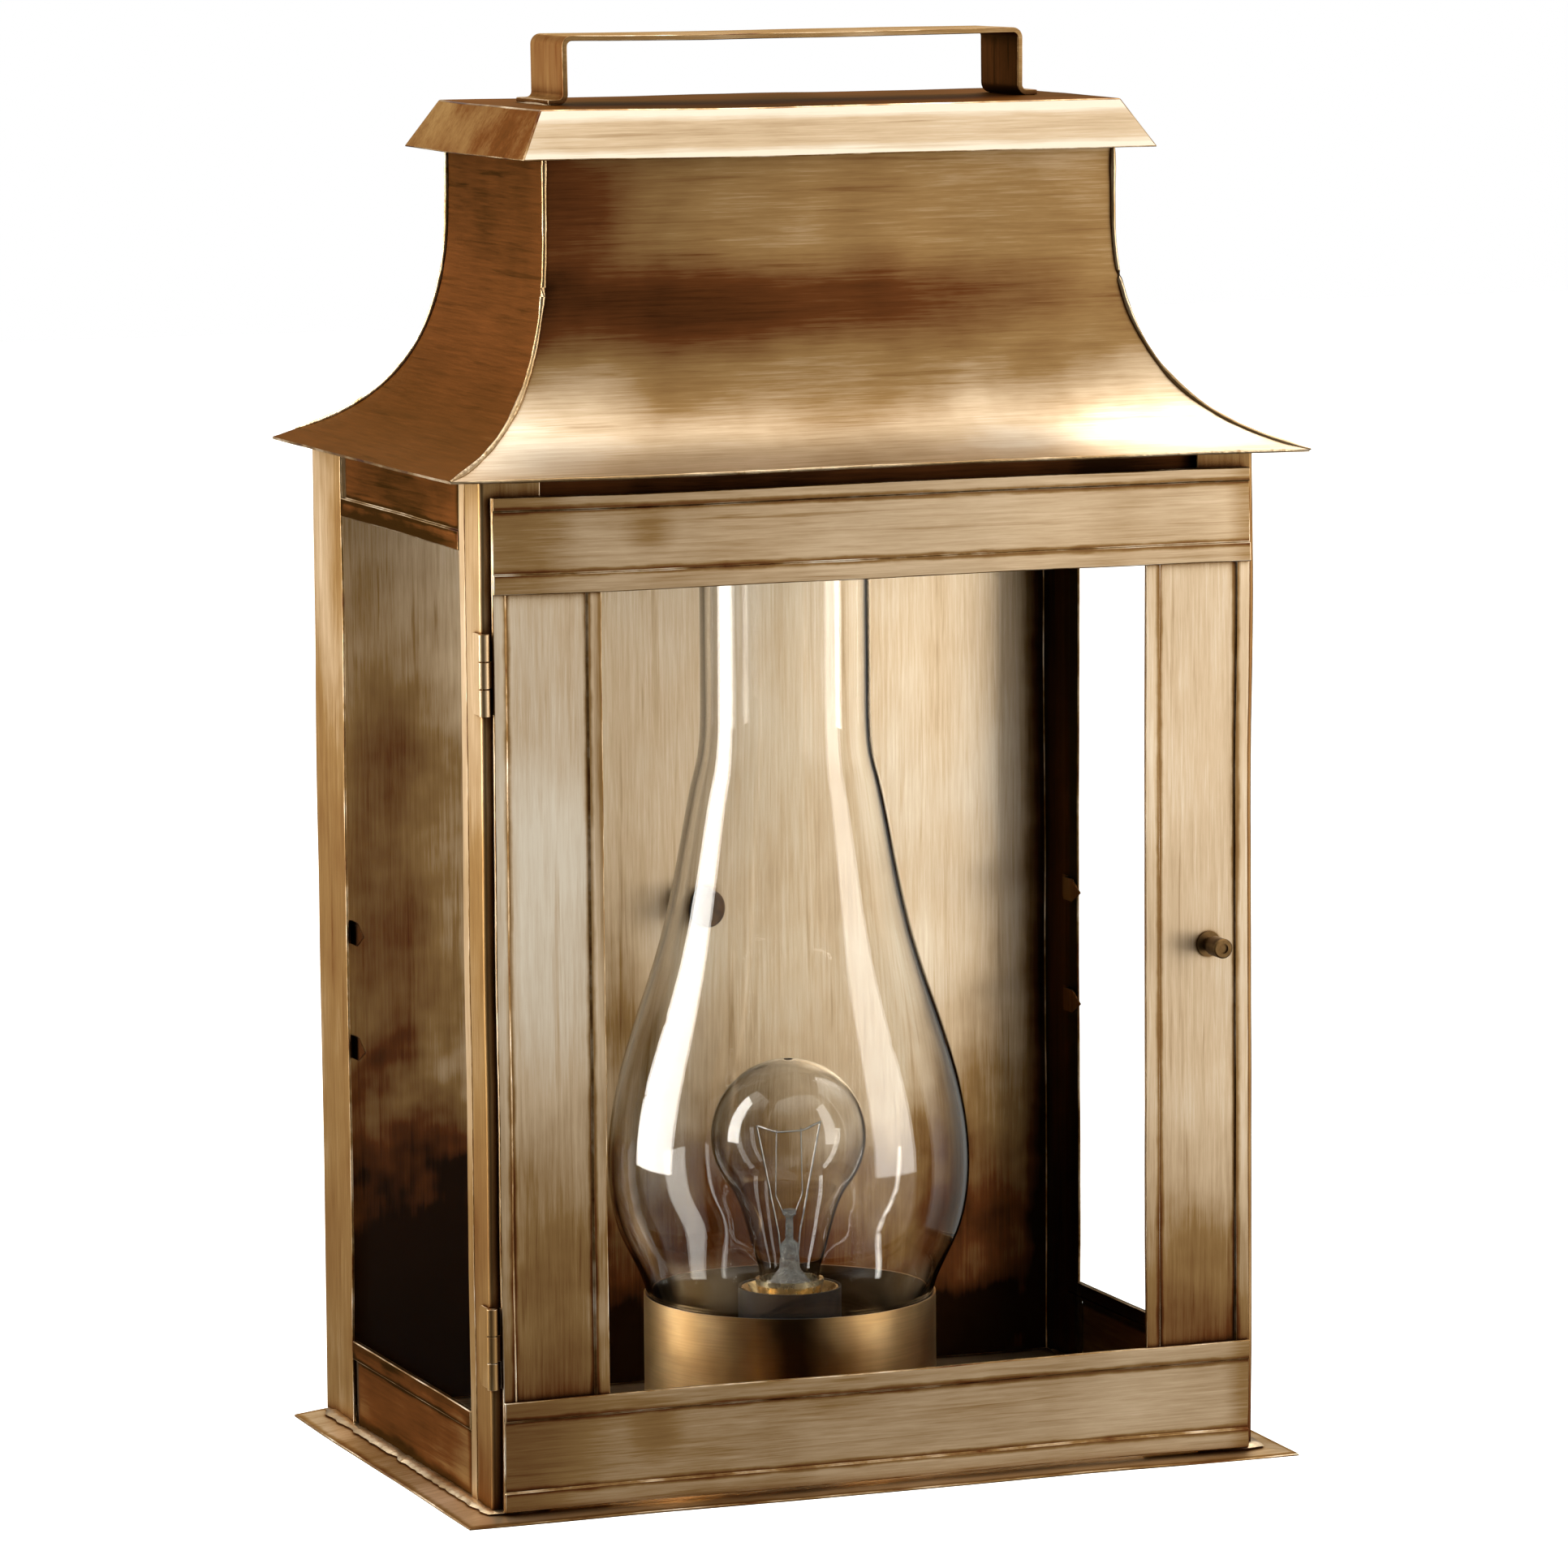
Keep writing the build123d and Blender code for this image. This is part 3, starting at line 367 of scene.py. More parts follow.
def groove_shade_lines(tree, position, node, creases):
    """Painted shade: 1 along the grooves beside a piece's hems.

    creases holds, for an axis, how far in from the low and the high side of the piece a groove
    runs, or None where that side has no hem.
    """
    places = split_axes(tree, position)
    nearest = 1.0
    for axis, insets in creases.items():
        index = "XYZ".index(axis)
        for edge, inset, way in zip((low(node), high(node)), insets, (1, -1)):
            if inset is not None:
                offset = maths(tree, "SUBTRACT", places[index], edge[index] + way * inset)
                nearest = maths(tree, "MINIMUM", maths(tree, "ABSOLUTE", offset), nearest)
    uneven = clouds(tree, position, 70.0, detail=4.0)
    shifted = maths(tree, "MULTIPLY_ADD", uneven, -GROOVE_WANDER, nearest)
    return ramp(tree, shifted, -0.0006, 0.0012, 1.0, 0.0)


def stain(tree, position, node, centre, reach):
    """Soft dark patch; centre and reach are shares of the node's box."""
    size = high(node) - low(node)
    spot = low(node) + Vector(c * s for c, s in zip(centre, size))
    least = 4 * MM
    spread = Vector(max(r * s, least) for r, s in zip(reach, size))
    away = vector_maths(tree, "SUBTRACT", position, spot)
    away = vector_maths(tree, "DIVIDE", away, spread)
    distance = vector_maths(tree, "LENGTH", away, output=1)
    uneven = clouds(tree, position, 24.0, detail=3.0)
    distance = maths(tree, "MULTIPLY_ADD", uneven, 0.7, distance)
    return ramp(tree, distance, 0.45, 1.6, 1.0, 0.0)


def patina(tree, wear):
    """Colour of brass from black patina at 0 to bare rubbed metal at 1."""
    colour = colours()
    node = new_node(tree, "ValToRGB")
    tree.links.new(wear, node.inputs[0])
    steps = ((0.0, colour.soot), (0.28, colour.umber), (0.55, colour.honey_brass),
             (0.8, colour.pale_brass), (1.0, colour.bare_brass))
    elements = node.color_ramp.elements
    while len(elements) < len(steps):
        elements.new(0.5)
    for element, (at, tone) in zip(elements, steps):
        element.position = at
        element.color = (*tone, 1.0)
    return node.outputs[0]


def brushed_brass(node, grain, wear=0.75, stains=(), borders="", border_width=0.006, name=None,
                  change=0.3, creases=None):
    """Antique brass brushed one way, for a sheet of the lantern.

    wear is how bare it is rubbed, and change how unevenly. Each of stains is a centre and a
    reach, as shares of the piece's box along X, Y and Z, and how much wear it takes away there,
    or adds where that is negative; some callers use stains for painted shade and painted
    highlights as well. borders names the axes along which dirt lies at the piece's borders, and
    creases the grooves beside its hems, which get a painted shade line. Inside corners get
    painted shade too.
    """
    material, tree, shader, position = start_material(name or node + "_brass")
    cloud = clouds(tree, position, 9.0, detail=3.0, distortion=0.3)
    fine = clouds(tree, position, GRAIN[grain], detail=4.0, roughness=0.75)
    stroke = clouds(tree, position, STROKE[grain], detail=5.0, roughness=0.68, distortion=0.15)
    level = around_half(tree, cloud, CLOUD_CHANGE * change, wear)
    level = around_half(tree, stroke, STROKE_CHANGE * change, level)
    level = around_half(tree, fine, FINE_CHANGE, level)
    long_grain = tuple(0.5 * c for c in GRAIN[grain])
    scratch = clouds(tree, position, long_grain, detail=3.0, distortion=0.5)
    level = maths(tree, "MULTIPLY_ADD", ramp(tree, scratch, 0.56, 0.76), -SCRATCH_LOSS, level)
    for centre, reach, amount in stains:
        patch = stain(tree, position, node, centre, reach)
        level = maths(tree, "MULTIPLY_ADD", patch, -amount, level)
    # painted shade: darker brass wherever the AO node finds inside corners, gaps and hems close by;
    # it stands also for some grime there
    occlusion = new_node(tree, "AmbientOcclusion", samples=6)
    occlusion.inputs["Distance"].default_value = CORNER_SHADE_REACH
    corner_shade = ramp(tree, occlusion.outputs["AO"], 0.45, 0.92, 1.0, 0.0)
    level = maths(tree, "MULTIPLY_ADD", corner_shade, -CORNER_SHADE_LOSS, level)
    # painted shade: a soft dark line in the groove beside each hem
    if creases:
        hem_groove_shade = groove_shade_lines(tree, position, node, creases)
        level = maths(tree, "MULTIPLY_ADD", hem_groove_shade, -GROOVE_SHADE_LOSS, level)
    if borders:
        dirt = border_dirt(tree, position, node, borders, border_width)
        level = maths(tree, "MULTIPLY_ADD", dirt, -BORDER_LOSS, level)
    tree.links.new(patina(tree, level), shader.inputs["Base Color"])
    shader.inputs["Specular Tint"].default_value = (0.74, 0.62, 0.48, 1.0)
    shader.inputs["Metallic"].default_value = 1.0
    rough = maths(tree, "MULTIPLY_ADD", level, -0.12, 0.47)
    rough = maths(tree, "MULTIPLY_ADD", fine, 0.12, rough)
    tree.links.new(rough, shader.inputs["Roughness"])
    tree.links.new(ramp(tree, level, 0.45, 1.0, 0.0, 0.75), shader.inputs["Coat Weight"])
    shader.inputs["Coat Roughness"].default_value = 0.3
    shader.inputs["Coat IOR"].default_value = 1.6
    add_relief(tree, shader, fine, 0.00005, 0.5)
    return material


def worn_edge():
    """Bare metal where folds and cut edges have been rubbed bright."""
    found = bpy.data.materials.get("worn_edge")
    if found:
        return found
    material, tree, shader, position = start_material("worn_edge")
    rubbed = clouds(tree, position, 38.0, detail=5.0, roughness=0.6)
    level = around_half(tree, rubbed, 2.2, 0.6)
    tree.links.new(patina(tree, level), shader.inputs["Base Color"])
    shader.inputs["Metallic"].default_value = 1.0
    shader.inputs["Roughness"].default_value = 0.38
    return material


def rubbed_solder():
    """Lumpy grey-gold solder, dark in its hollows."""
    found = bpy.data.materials.get("rubbed_solder")
    if found:
        return found
    colour = colours()
    material, tree, shader, position = start_material("rubbed_solder")
    lumps = clouds(tree, position, 260.0, detail=4.0)
    aged = ramp(tree, clouds(tree, position, 22.0, detail=2.0), 0.36, 0.58, 0.0, 0.85)
    hollow = maths(tree, "MAXIMUM", ramp(tree, lumps, 0.5, 0.72), aged)
    tone = blend_colours(tree, hollow, colour.solder, colour.honey_brass)
    tree.links.new(tone, shader.inputs["Base Color"])
    shader.inputs["Metallic"].default_value = 1.0
    shader.inputs["Roughness"].default_value = 0.34
    add_relief(tree, shader, lumps, 0.0006, 0.8)
    return material


def turned_brass(name, tone_low, tone_high, roughness, dark=None):
    """Brass with fine lines round the lamp's axis.

    dark is the ring that gets painted shade across its front and inside.
    """
    material, tree, shader, position = start_material(name)
    lines = clouds(tree, position, (30.0, 30.0, 1400.0), detail=3.0, roughness=0.7)
    cloud = clouds(tree, position, 26.0, detail=3.0)
    tone = blend_colours(tree, ramp(tree, cloud, 0.35, 0.7), tone_low, tone_high)
    light = ramp(tree, lines, 0.25, 0.75, 0.88, 1.06)
    lit = new_node(tree, "CombineXYZ")
    for socket in lit.inputs:
        tree.links.new(light, socket)
    tone = blend_colours(tree, 1.0, tone, lit.outputs[0], how="MULTIPLY")
    if dark:
        # painted shade: the ring's front and its inside face are blended towards soot
        front = stain(tree, position, dark, (0.34, 0.03, 0.5), (0.2, 0.3, 4.0))
        from_axis = vector_maths(tree, "SUBTRACT", position, LAMP)
        from_axis = vector_maths(tree, "MULTIPLY", from_axis, (1.0, 1.0, 0.0))
        radius = vector_maths(tree, "LENGTH", from_axis, output=1)
        inner = (high(dark).x - low(dark).x) / 2 - SHEET
        inside = ramp(tree, radius, inner + 0.2 * MM, inner + 0.5 * MM, 0.95, 0.0)
        shaded = maths(tree, "MAXIMUM", maths(tree, "MULTIPLY", front, 0.97), inside)
        tone = blend_colours(tree, shaded, tone, colours().soot)
    tree.links.new(tone, shader.inputs["Base Color"])
    shader.inputs["Metallic"].default_value = 1.0
    tree.links.new(maths(tree, "MULTIPLY_ADD", lines, 0.08, roughness), shader.inputs["Roughness"])
    add_relief(tree, shader, lines, 0.00002, 0.4)
    return material


def plain_metal(name, tone, roughness):
    """Small metal parts: one tone with a slight mottle."""
    material, tree, shader, position = start_material(name)
    cloud = ramp(tree, clouds(tree, position, 240.0, detail=4.0), 0.3, 0.75)
    darker = tuple(0.56 * c for c in tone)
    tree.links.new(blend_colours(tree, cloud, tone, darker), shader.inputs["Base Color"])
    shader.inputs["Metallic"].default_value = 1.0
    rough = maths(tree, "MULTIPLY_ADD", cloud, 0.15, roughness)
    tree.links.new(rough, shader.inputs["Roughness"])
    return material


# ---------------------------------------------------------------- glass and dark finishes
def let_lamps_through(material, tree, shader):
    """Lets lamps shine through glass instead of shadowing what it encloses."""
    output = next(n for n in tree.nodes if n.type == "OUTPUT_MATERIAL")
    clear = new_node(tree, "BsdfTransparent")
    clear.inputs["Color"].default_value = (0.97, 0.97, 0.96, 1.0)
    path = new_node(tree, "LightPath")
    mix = new_node(tree, "MixShader")
    tree.links.new(path.outputs["Is Shadow Ray"], mix.inputs[0])
    tree.links.new(shader.outputs[0], mix.inputs[1])
    tree.links.new(clear.outputs[0], mix.inputs[2])
    tree.links.new(mix.outputs[0], output.inputs["Surface"])


def blown_glass(name, tint, ripple, ior=1.47, shine=0.5):
    """Clear glass with a faint ripple. shine is how strongly it mirrors the room."""
    material, tree, shader, position = start_material(name)
    shader.inputs["Base Color"].default_value = (*tint, 1.0)
    shader.inputs["Roughness"].default_value = 0.0
    shader.inputs["IOR"].default_value = ior
    shader.inputs["Specular IOR Level"].default_value = shine
    shader.inputs["Transmission Weight"].default_value = 1.0
    wave = clouds(tree, position, (30.0, 30.0, 12.0), detail=1.0)
    add_relief(tree, shader, wave, ripple, 0.5)
    let_lamps_through(material, tree, shader)
    return material


def sheet_glass():
    """Clear flat window glass, one material for every pane."""
    found = bpy.data.materials.get("sheet_glass")
    return found or blown_glass("sheet_glass", colours().clear, ripple=0.00002, ior=1.02)


def stem_glass():
    """Milky lead glass of the bulb's stem."""
    material, tree, shader, position = start_material("stem_glass")
    cloud = ramp(tree, clouds(tree, position, 400.0, detail=2.0), 0.3, 0.7)
    tree.links.new(blend_colours(tree, cloud, (0.95, 0.95, 0.93), (0.6, 0.6, 0.58)),
                   shader.inputs["Base Color"])
    shader.inputs["Transmission Weight"].default_value = 0.85
    shader.inputs["Roughness"].default_value = 0.03
    add_relief(tree, shader, cloud, 0.0009, 0.9)
    return material


def moulded(name, tone, roughness):
    """Dull moulded material: porcelain body, rubber seal and bushing."""
    material, tree, shader, position = start_material(name)
    grain = clouds(tree, position, 900.0, detail=3.0)
    lighter = tuple(min(1.0, c * 1.9 + 0.004) for c in tone)
    tree.links.new(blend_colours(tree, ramp(tree, grain, 0.4, 0.75), tone, lighter),
                   shader.inputs["Base Color"])
    rough = maths(tree, "MULTIPLY_ADD", grain, 0.2, roughness)
    tree.links.new(rough, shader.inputs["Roughness"])
    shader.inputs["Specular IOR Level"].default_value = 0.2
    add_relief(tree, shader, grain, 0.0001, 0.3)
    return material


# ---------------------------------------------------------------- mesh helpers
WELD = 2e-6                     # corners this close are one corner
FOLD_ANGLE = radians(28)        # a sharper edge than this is a fold
SIDEWAYS = 0.4                  # least share of X in the normal of a face that looks sideways
STRAIGHT = 0.9                  # least share of Z or Y for one that looks up, down or back
EDGE_SLOT = 1                   # material slot of the worn edges, after the piece's own finish
EXTRA_SLOT = 2                  # first material slot of the finishes for chosen faces
BEAD_SIDES = 8                  # faces round a bead of solder
WAVE_SEED = 2                   # any fixed number, so that every run gives the same waves

noise.seed_set(WAVE_SEED)


def hand_wave(point):
    """The small pull that hand folding leaves in the sheet, the same for neighbours."""
    size = sizes()
    pull = noise.noise_vector(point / size.wave_length) * size.wave_height
    apart = Vector((7.1, 3.3, 5.7))         # so that the finer waves don't repeat the long ones
    finer = noise.noise_vector(point / (0.3 * size.wave_length) + apart)
    return pull + finer * (0.22 * size.wave_height)


def keep_behind_wall(point):
    """Nothing reaches behind the wall plane or below the base's underside."""
    point.y = min(point.y, CAD_HIGH.y)
    point.z = max(point.z, CAD_LOW.z)
    return point


def mesh_from(bm, name):
    """Turns a working mesh into a named one."""
    bmesh.ops.recalc_face_normals(bm, faces=bm.faces)
    mesh_data = bpy.data.meshes.new(name)
    bm.to_mesh(mesh_data)
    bm.free()
    return mesh_data


def weld(bm):
    """Joins corners that meet, and drops the faces that this closes."""
    bmesh.ops.remove_doubles(bm, verts=bm.verts, dist=WELD)
    bmesh.ops.dissolve_degenerate(bm, edges=bm.edges, dist=WELD)


def place(mesh_data, name, node, body, materials):
    """Makes the object of a finished piece, which rides a body and replaces a CAD node."""
    for material in materials:
        mesh_data.materials.append(material)
    piece = bpy.data.objects.new(name, mesh_data)
    bpy.context.scene.collection.objects.link(piece)
    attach(piece, body)
    if node:
        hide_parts(node)
    return piece


def smooth_by_angle(mesh_data, limit=radians(38)):
    """Shades a mesh smooth, but for its edges that are sharper than the limit."""
    mesh_data.polygons.foreach_set("use_smooth", [True] * len(mesh_data.polygons))
    mesh_data.set_sharp_from_angle(angle=limit)


def weigh_normals(piece):
    """Lets the large flats set the shading of the rounded folds between them."""
    modifier = piece.modifiers.new("weighted", "WEIGHTED_NORMAL")
    modifier.keep_sharp = True


def cut_cells(bm, cell):
    """Cuts a mesh along a grid, so that its flats can carry waves."""
    corners = [v.co for v in bm.verts]
    for axis in range(3):
        start = min(c[axis] for c in corners)
        length = max(c[axis] for c in corners) - start
        count = int(length / cell)
        normal = Vector((0, 0, 0))
        normal[axis] = 1.0
        for step in range(1, count):
            at = Vector((0, 0, 0))
            at[axis] = start + length * step / count
            everything = bm.verts[:] + bm.edges[:] + bm.faces[:]
            bmesh.ops.bisect_plane(bm, geom=everything, dist=WELD, plane_co=at, plane_no=normal)


def record_of(node):
    """Body and material slot of a CAD node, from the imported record."""
    record = frame["record"]
    slot = next(s["material_slot"] for s in record["subparts"] if s["node"] == node)
    body = next(b for b, nodes in record["behaviour"]["bodies"].items() if node in nodes)
    return body, slot


def face_finish(face, sides, inside, tops, rear):
    """Finish of a sheet's face by the way it looks, or None for the piece's own finish."""
    if rear and face.normal.y > STRAIGHT:
        return rear
    if abs(face.normal.z) > STRAIGHT:
        return tops
    across = face.normal.x
    if abs(across) <= SIDEWAYS:
        return None
    at_lamp = across * (face.calc_center_median().x - LAMP.x) < 0
    return inside if inside and at_lamp else sides


def folded(node, finish, radius=None, wavy=True, sides=None, inside=None, tops=None, rear=None):
    """Finished copy of a folded sheet piece: rounded bright folds and slightly wavy flats.

    Faces that look left or right take sides as their finish, of those the ones that look at
    the lamp take inside. Level faces take tops, and faces that look at the wall take rear.
    """
    size = sizes()
    bm = bmesh.new()
    bm.from_mesh(frame["nodes"][node].data)
    bmesh.ops.remove_doubles(bm, verts=bm.verts, dist=WELD)
    bmesh.ops.dissolve_limit(bm, angle_limit=radians(1.0), verts=bm.verts, edges=bm.edges)
    corners = [e for e in bm.edges if e.is_manifold and e.calc_face_angle(0.0) > FOLD_ANGLE]
    bmesh.ops.bevel(bm, geom=corners, offset=radius or size.fold_radius, offset_type="OFFSET",
                    segments=2, profile=0.5, affect="EDGES", clamp_overlap=True,
                    material=EDGE_SLOT)
    extra = [m for m in (sides, inside, tops, rear) if m]
    for face in bm.faces:
        chosen = face_finish(face, sides, inside, tops, rear)
        if chosen and not face.material_index:
            face.material_index = EXTRA_SLOT + extra.index(chosen)
    if wavy:
        cut_cells(bm, size.cell)
        for vertex in bm.verts:
            vertex.co = keep_behind_wall(vertex.co + hand_wave(vertex.co))
    mesh_data = mesh_from(bm, node + "_sheet")
    body, slot = record_of(node)
    piece = place(mesh_data, node + "_sheet", node, body, [finish, worn_edge(), *extra])
    smooth_by_angle(mesh_data)
    weigh_normals(piece)
    return piece


def finish_node(node, material):
    """Gives a CAD node that keeps its shape its finish."""
    piece = frame["nodes"][node]
    piece.data.materials.clear()
    piece.data.materials.append(material)
    return piece


def wall_outline(node, points=150):
    """Closed outline of a blown glass, as (radius, height), read from its CAD surface.

    Where the surface looks straight up or down it belongs to neither wall, and is left out.
    """
    outer = []
    inner = []
    for vertex in frame["nodes"][node].data.vertices:
        arm = Vector((vertex.co.x - LAMP.x, vertex.co.y - LAMP.y, 0.0))
        facing = vertex.normal.dot(arm.normalized()) if arm.length > WELD else 0.0
        if abs(facing) > 0.04:
            (outer if facing > 0 else inner).append((vertex.co.z, arm.length))
    outline = []
    for wall, order in ((outer, 1), (inner, -1)):
        heights, radii = np.array(sorted(set(wall))).T
        share = (1 - np.cos(np.linspace(0, pi, points))) / 2
        wanted = heights[0] + (heights[-1] - heights[0]) * share
        found = np.interp(wanted, heights, radii)
        outline += list(zip(found, wanted))[::order]
    return outline


def lathe(outline, axis, steps):
    """Closed surface of an outline turned about an upright axis."""
    bm = bmesh.new()
    rings = []
    for step in range(steps):
        angle = 2 * pi * step / steps
        ring = [bm.verts.new((axis.x + r * cos(angle), axis.y + r * sin(angle), z))
                for r, z in outline]
        rings.append(ring)
    for step in range(steps):
        here, there = rings[step], rings[(step + 1) % steps]
        for i in range(len(outline)):
            j = (i + 1) % len(outline)
            bm.faces.new((here[i], there[i], there[j], here[j]))
    weld(bm)
    return bm


def turned(node, finish, steps):
    """Finer turned copy of a blown glass."""
    bm = lathe(wall_outline(node), LAMP, steps)
    mesh_data = mesh_from(bm, node + "_turned")
    body, slot = record_of(node)
    piece = place(mesh_data, node + "_turned", node, body, [finish])
    smooth_by_angle(mesh_data, radians(32))
    return piece


def bead_frame(route, i):
    """Directions sideways and upwards from a route at its point i."""
    along = (route[min(i + 1, len(route) - 1)] - route[max(i - 1, 0)]).normalized()
    side = along.cross(Vector((0, 0, 1)))
    side = side.normalized() if side.length > 0.2 else Vector((1, 0, 0))
    return side, side.cross(along)


def solder_run(name, route, width, lumps=0.45, flat=0.7, seed=0.0, finish=None):
    """Uneven bead of solder along a route, fading out at both ends.

    lumps is how uneven it is, flat its height for a width of 1, and seed sets its lumps apart
    from those of other beads.
    """
    bm = bmesh.new()
    rings = []
    last = len(route) - 1
    for i, point in enumerate(route):
        side, up = bead_frame(route, i)
        unevenness = noise.noise(point * 110.0 + Vector((seed, 0, 0)))
        unevenness += 0.5 * noise.noise(point * 330.0 + Vector((0, seed, 0)))
        ends = min(1.0, 0.35 + 0.65 * min(i, last - i) / 2)
        radius = width / 2 * ends * (1 + lumps * unevenness)
        ring = []
        for k in range(BEAD_SIDES):
            angle = 2 * pi * k / BEAD_SIDES
            reach = side * cos(angle) + up * (sin(angle) * flat)
            ring.append(bm.verts.new(keep_behind_wall(point + reach * radius)))
        rings.append(ring)
    for here, there in zip(rings, rings[1:]):
        for k in range(BEAD_SIDES):
            j = (k + 1) % BEAD_SIDES
            bm.faces.new((here[k], here[j], there[j], there[k]))
    bm.faces.new(rings[0])
    bm.faces.new(rings[-1])
    mesh_data = mesh_from(bm, name)
    piece = place(mesh_data, name, None, "lantern", [finish or rubbed_solder()])
    smooth_by_angle(mesh_data, radians(60))
    return piece


def straight_route(points, spacing=0.004):
    """Points along straight runs, about spacing apart, with the sheet's waves added."""
    corners = [Vector(point) for point in points]
    route = []
    for start, end in zip(corners, corners[1:]):
        count = max(2, int((end - start).length / spacing))
        route += [start.lerp(end, i / count) for i in range(count)]
    route.append(corners[-1])
    return [p + hand_wave(p) for p in route]


# ---------------------------------------------------------------- base and walls
def make_base():
    """Base plate, and the solder round the foot of the walls."""
    finish = brushed_brass("base_plate", "across", wear=0.7, borders="XY", border_width=0.003)
    sides = brushed_brass("base_plate", "deep", wear=0.62, name="base_sides_brass")
    folded("base_plate", finish, radius=0.0003, sides=sides)
    foot = BASE_TOP + 0.4 * MM
    depth = 0.6 * MM
    start = -4 * MM                         # just in front of the wall
    front_run = 20 * MM                     # along the front, round each post
    for side, name in SIDES:
        x = side * (WALL_X + depth)
        y = FRONT_Y - depth
        post_end = side * (WALL_X - front_run)
        route = straight_route([(x, start, foot), (x, y, foot), (post_end, y, foot)])
        solder_run("base_seam_" + name, route, sizes().base_seam_width, lumps=0.6, flat=0.36,
                   seed=3.0 * side)


def make_back_plate():
    """Back plate with its two side flanges, dark along its foot.

    Painted shade darkens its right border and the flanges' faces that look at the lamp.
    """
    stains = [
        ((0.05, 0.5, 0.75), (0.17, 1.0, 0.9), 0.32),
        ((0.1, 0.5, 0.06), (0.3, 1.0, 0.32), 1.2),
        ((0.12, 0.5, 0.5), (0.13, 1.0, 0.26), 0.5),
        ((0.5, 0.5, 0.09), (0.6, 1.0, 0.22), 0.8),
        # painted shadow: a narrow dark streak left of the middle
        ((0.4, 0.5, 0.38), (0.07, 1.0, 0.14), 0.4),
        ((0.45, 0.5, 0.3), (0.3, 1.0, 0.2), 0.12),
        # painted shade: these two darken the plate towards its right border
        ((0.94, 0.5, 0.15), (0.14, 1.0, 0.3), 0.55),
        ((1.0, 0.5, 0.5), (0.04, 1.0, 3.0), 1.0),
        ((0.5, 0.5, 0.03), (3.0, 1.0, 0.07), 0.7),
    ]
    finish = brushed_brass("back_plate", "upright", wear=0.84, stains=stains, change=0.2)
    flange = brushed_brass("back_plate", "upright", wear=0.58, name="flange_brass", change=0.5)
    shaded = brushed_brass("back_plate", "upright", wear=0.12, name="shaded_brass", change=0.15)
    plain = brushed_brass("back_plate", "upright", wear=0.66, name="back_rear_brass", change=0.2)
    folded("back_plate", finish, sides=flange, inside=shaded, rear=plain)


def make_corner_posts():
    """Front posts, and the glazing channels behind them."""
    for _, side in SIDES:
        post = "front_post_" + side
        foot = [((0.5, 0.5, 0.0), (1.2, 1.2, 0.1), 0.25)]
        folded(post, brushed_brass(post, "upright", wear=0.5, stains=foot))
        channel = "glazing_channel_" + side
        folded(channel, brushed_brass(channel, "upright", wear=0.62), radius=0.00025)


def make_side_walls():
    """Rails, glass and glazing tabs of both sides, and the solder that closes their corners."""
    # painted shade: the solder seen through the slot behind each bottom rail is near-black brass
    shaded_solder = plain_metal("shaded_slot_solder", (0.05, 0.028, 0.012), roughness=0.5)
    slot = 5.0 * MM                         # between each bottom rail and the back flange
    slot_y = low("back_plate").y - slot / 2
    filling = sizes().filling_thickness
    hem = sizes().rail_hem
    middle_stain = [((0.5, 0.5, 0.5), (2.0, 0.9, 0.9), 0.2)]
    rails = (("side_bottom_rail_", 0.47, (None, hem)), ("side_top_rail_", 0.3, (hem, None)))
    for way, side in SIDES:
        rail = "side_bottom_rail_" + side
        inner_x = way * (min(abs(low(rail).x), abs(high(rail).x)) - 0.2 * MM)
        top = high(rail).z - MM
        upright = straight_route([(inner_x, slot_y, BASE_TOP), (inner_x, slot_y, top)])
        solder_run("rail_seam_" + side, upright, filling, lumps=0.1,
                   flat=(slot + 2 * MM) / filling, seed=4.0 * way, finish=shaded_solder)
        for rail, wear, hems in rails:
            node = rail + side
            finish = brushed_brass(node, "deep", wear=wear, stains=middle_stain, borders="YZ",
                                   creases={"Z": hems})
            folded(node, finish, radius=0.0005)
        finish_node("side_glass_" + side, sheet_glass())
        clips = "side_glass_clips_" + side
        # painted shade: the right tabs, which sit in shade, take a far darker brass than the left
        # ones
        finish_node(clips, brushed_brass(clips, "upright", wear=0.75 if side == "left" else 0.25))


# ---------------------------------------------------------------- roof
def roof_profile(steps=36):
    """Outward run and height of the roof from the top of its neck to its eave."""
    size = sizes()
    run = high("roof_right").x - low("roof_right").x - SHEET
    eave = low("roof_front").z + SHEET * cos(size.eave_slope)
    slope = Vector((cos(size.eave_slope), -sin(size.eave_slope)))
    start = Vector((0.0, eave + size.roof_rise))
    end = Vector((run, eave))
    pulls = (start - Vector((0.0, size.neck_pull)), end - slope * size.eave_pull)
    points = [Vector((0.0, high("roof_front").z))]
    neck_steps = 6
    for i in range(1, neck_steps):
        points.append(points[0].lerp(start, i / neck_steps))
    for i in range(steps + 1):
        t = i / steps
        points.append(start * (1 - t)**3 + pulls[0] * (3 * t * (1 - t)**2)
                      + pulls[1] * (3 * t * t * (1 - t)) + end * t**3)
    return points


def inner_profile(points):
    """The profile moved inwards by the sheet's thickness."""
    inner = []
    for i, point in enumerate(points):
        along = points[min(i + 1, len(points) - 1)] - points[max(i - 1, 0)]
        normal = Vector((-along.y, along.x)).normalized()
        inner.append(point - normal * SHEET)
    return inner


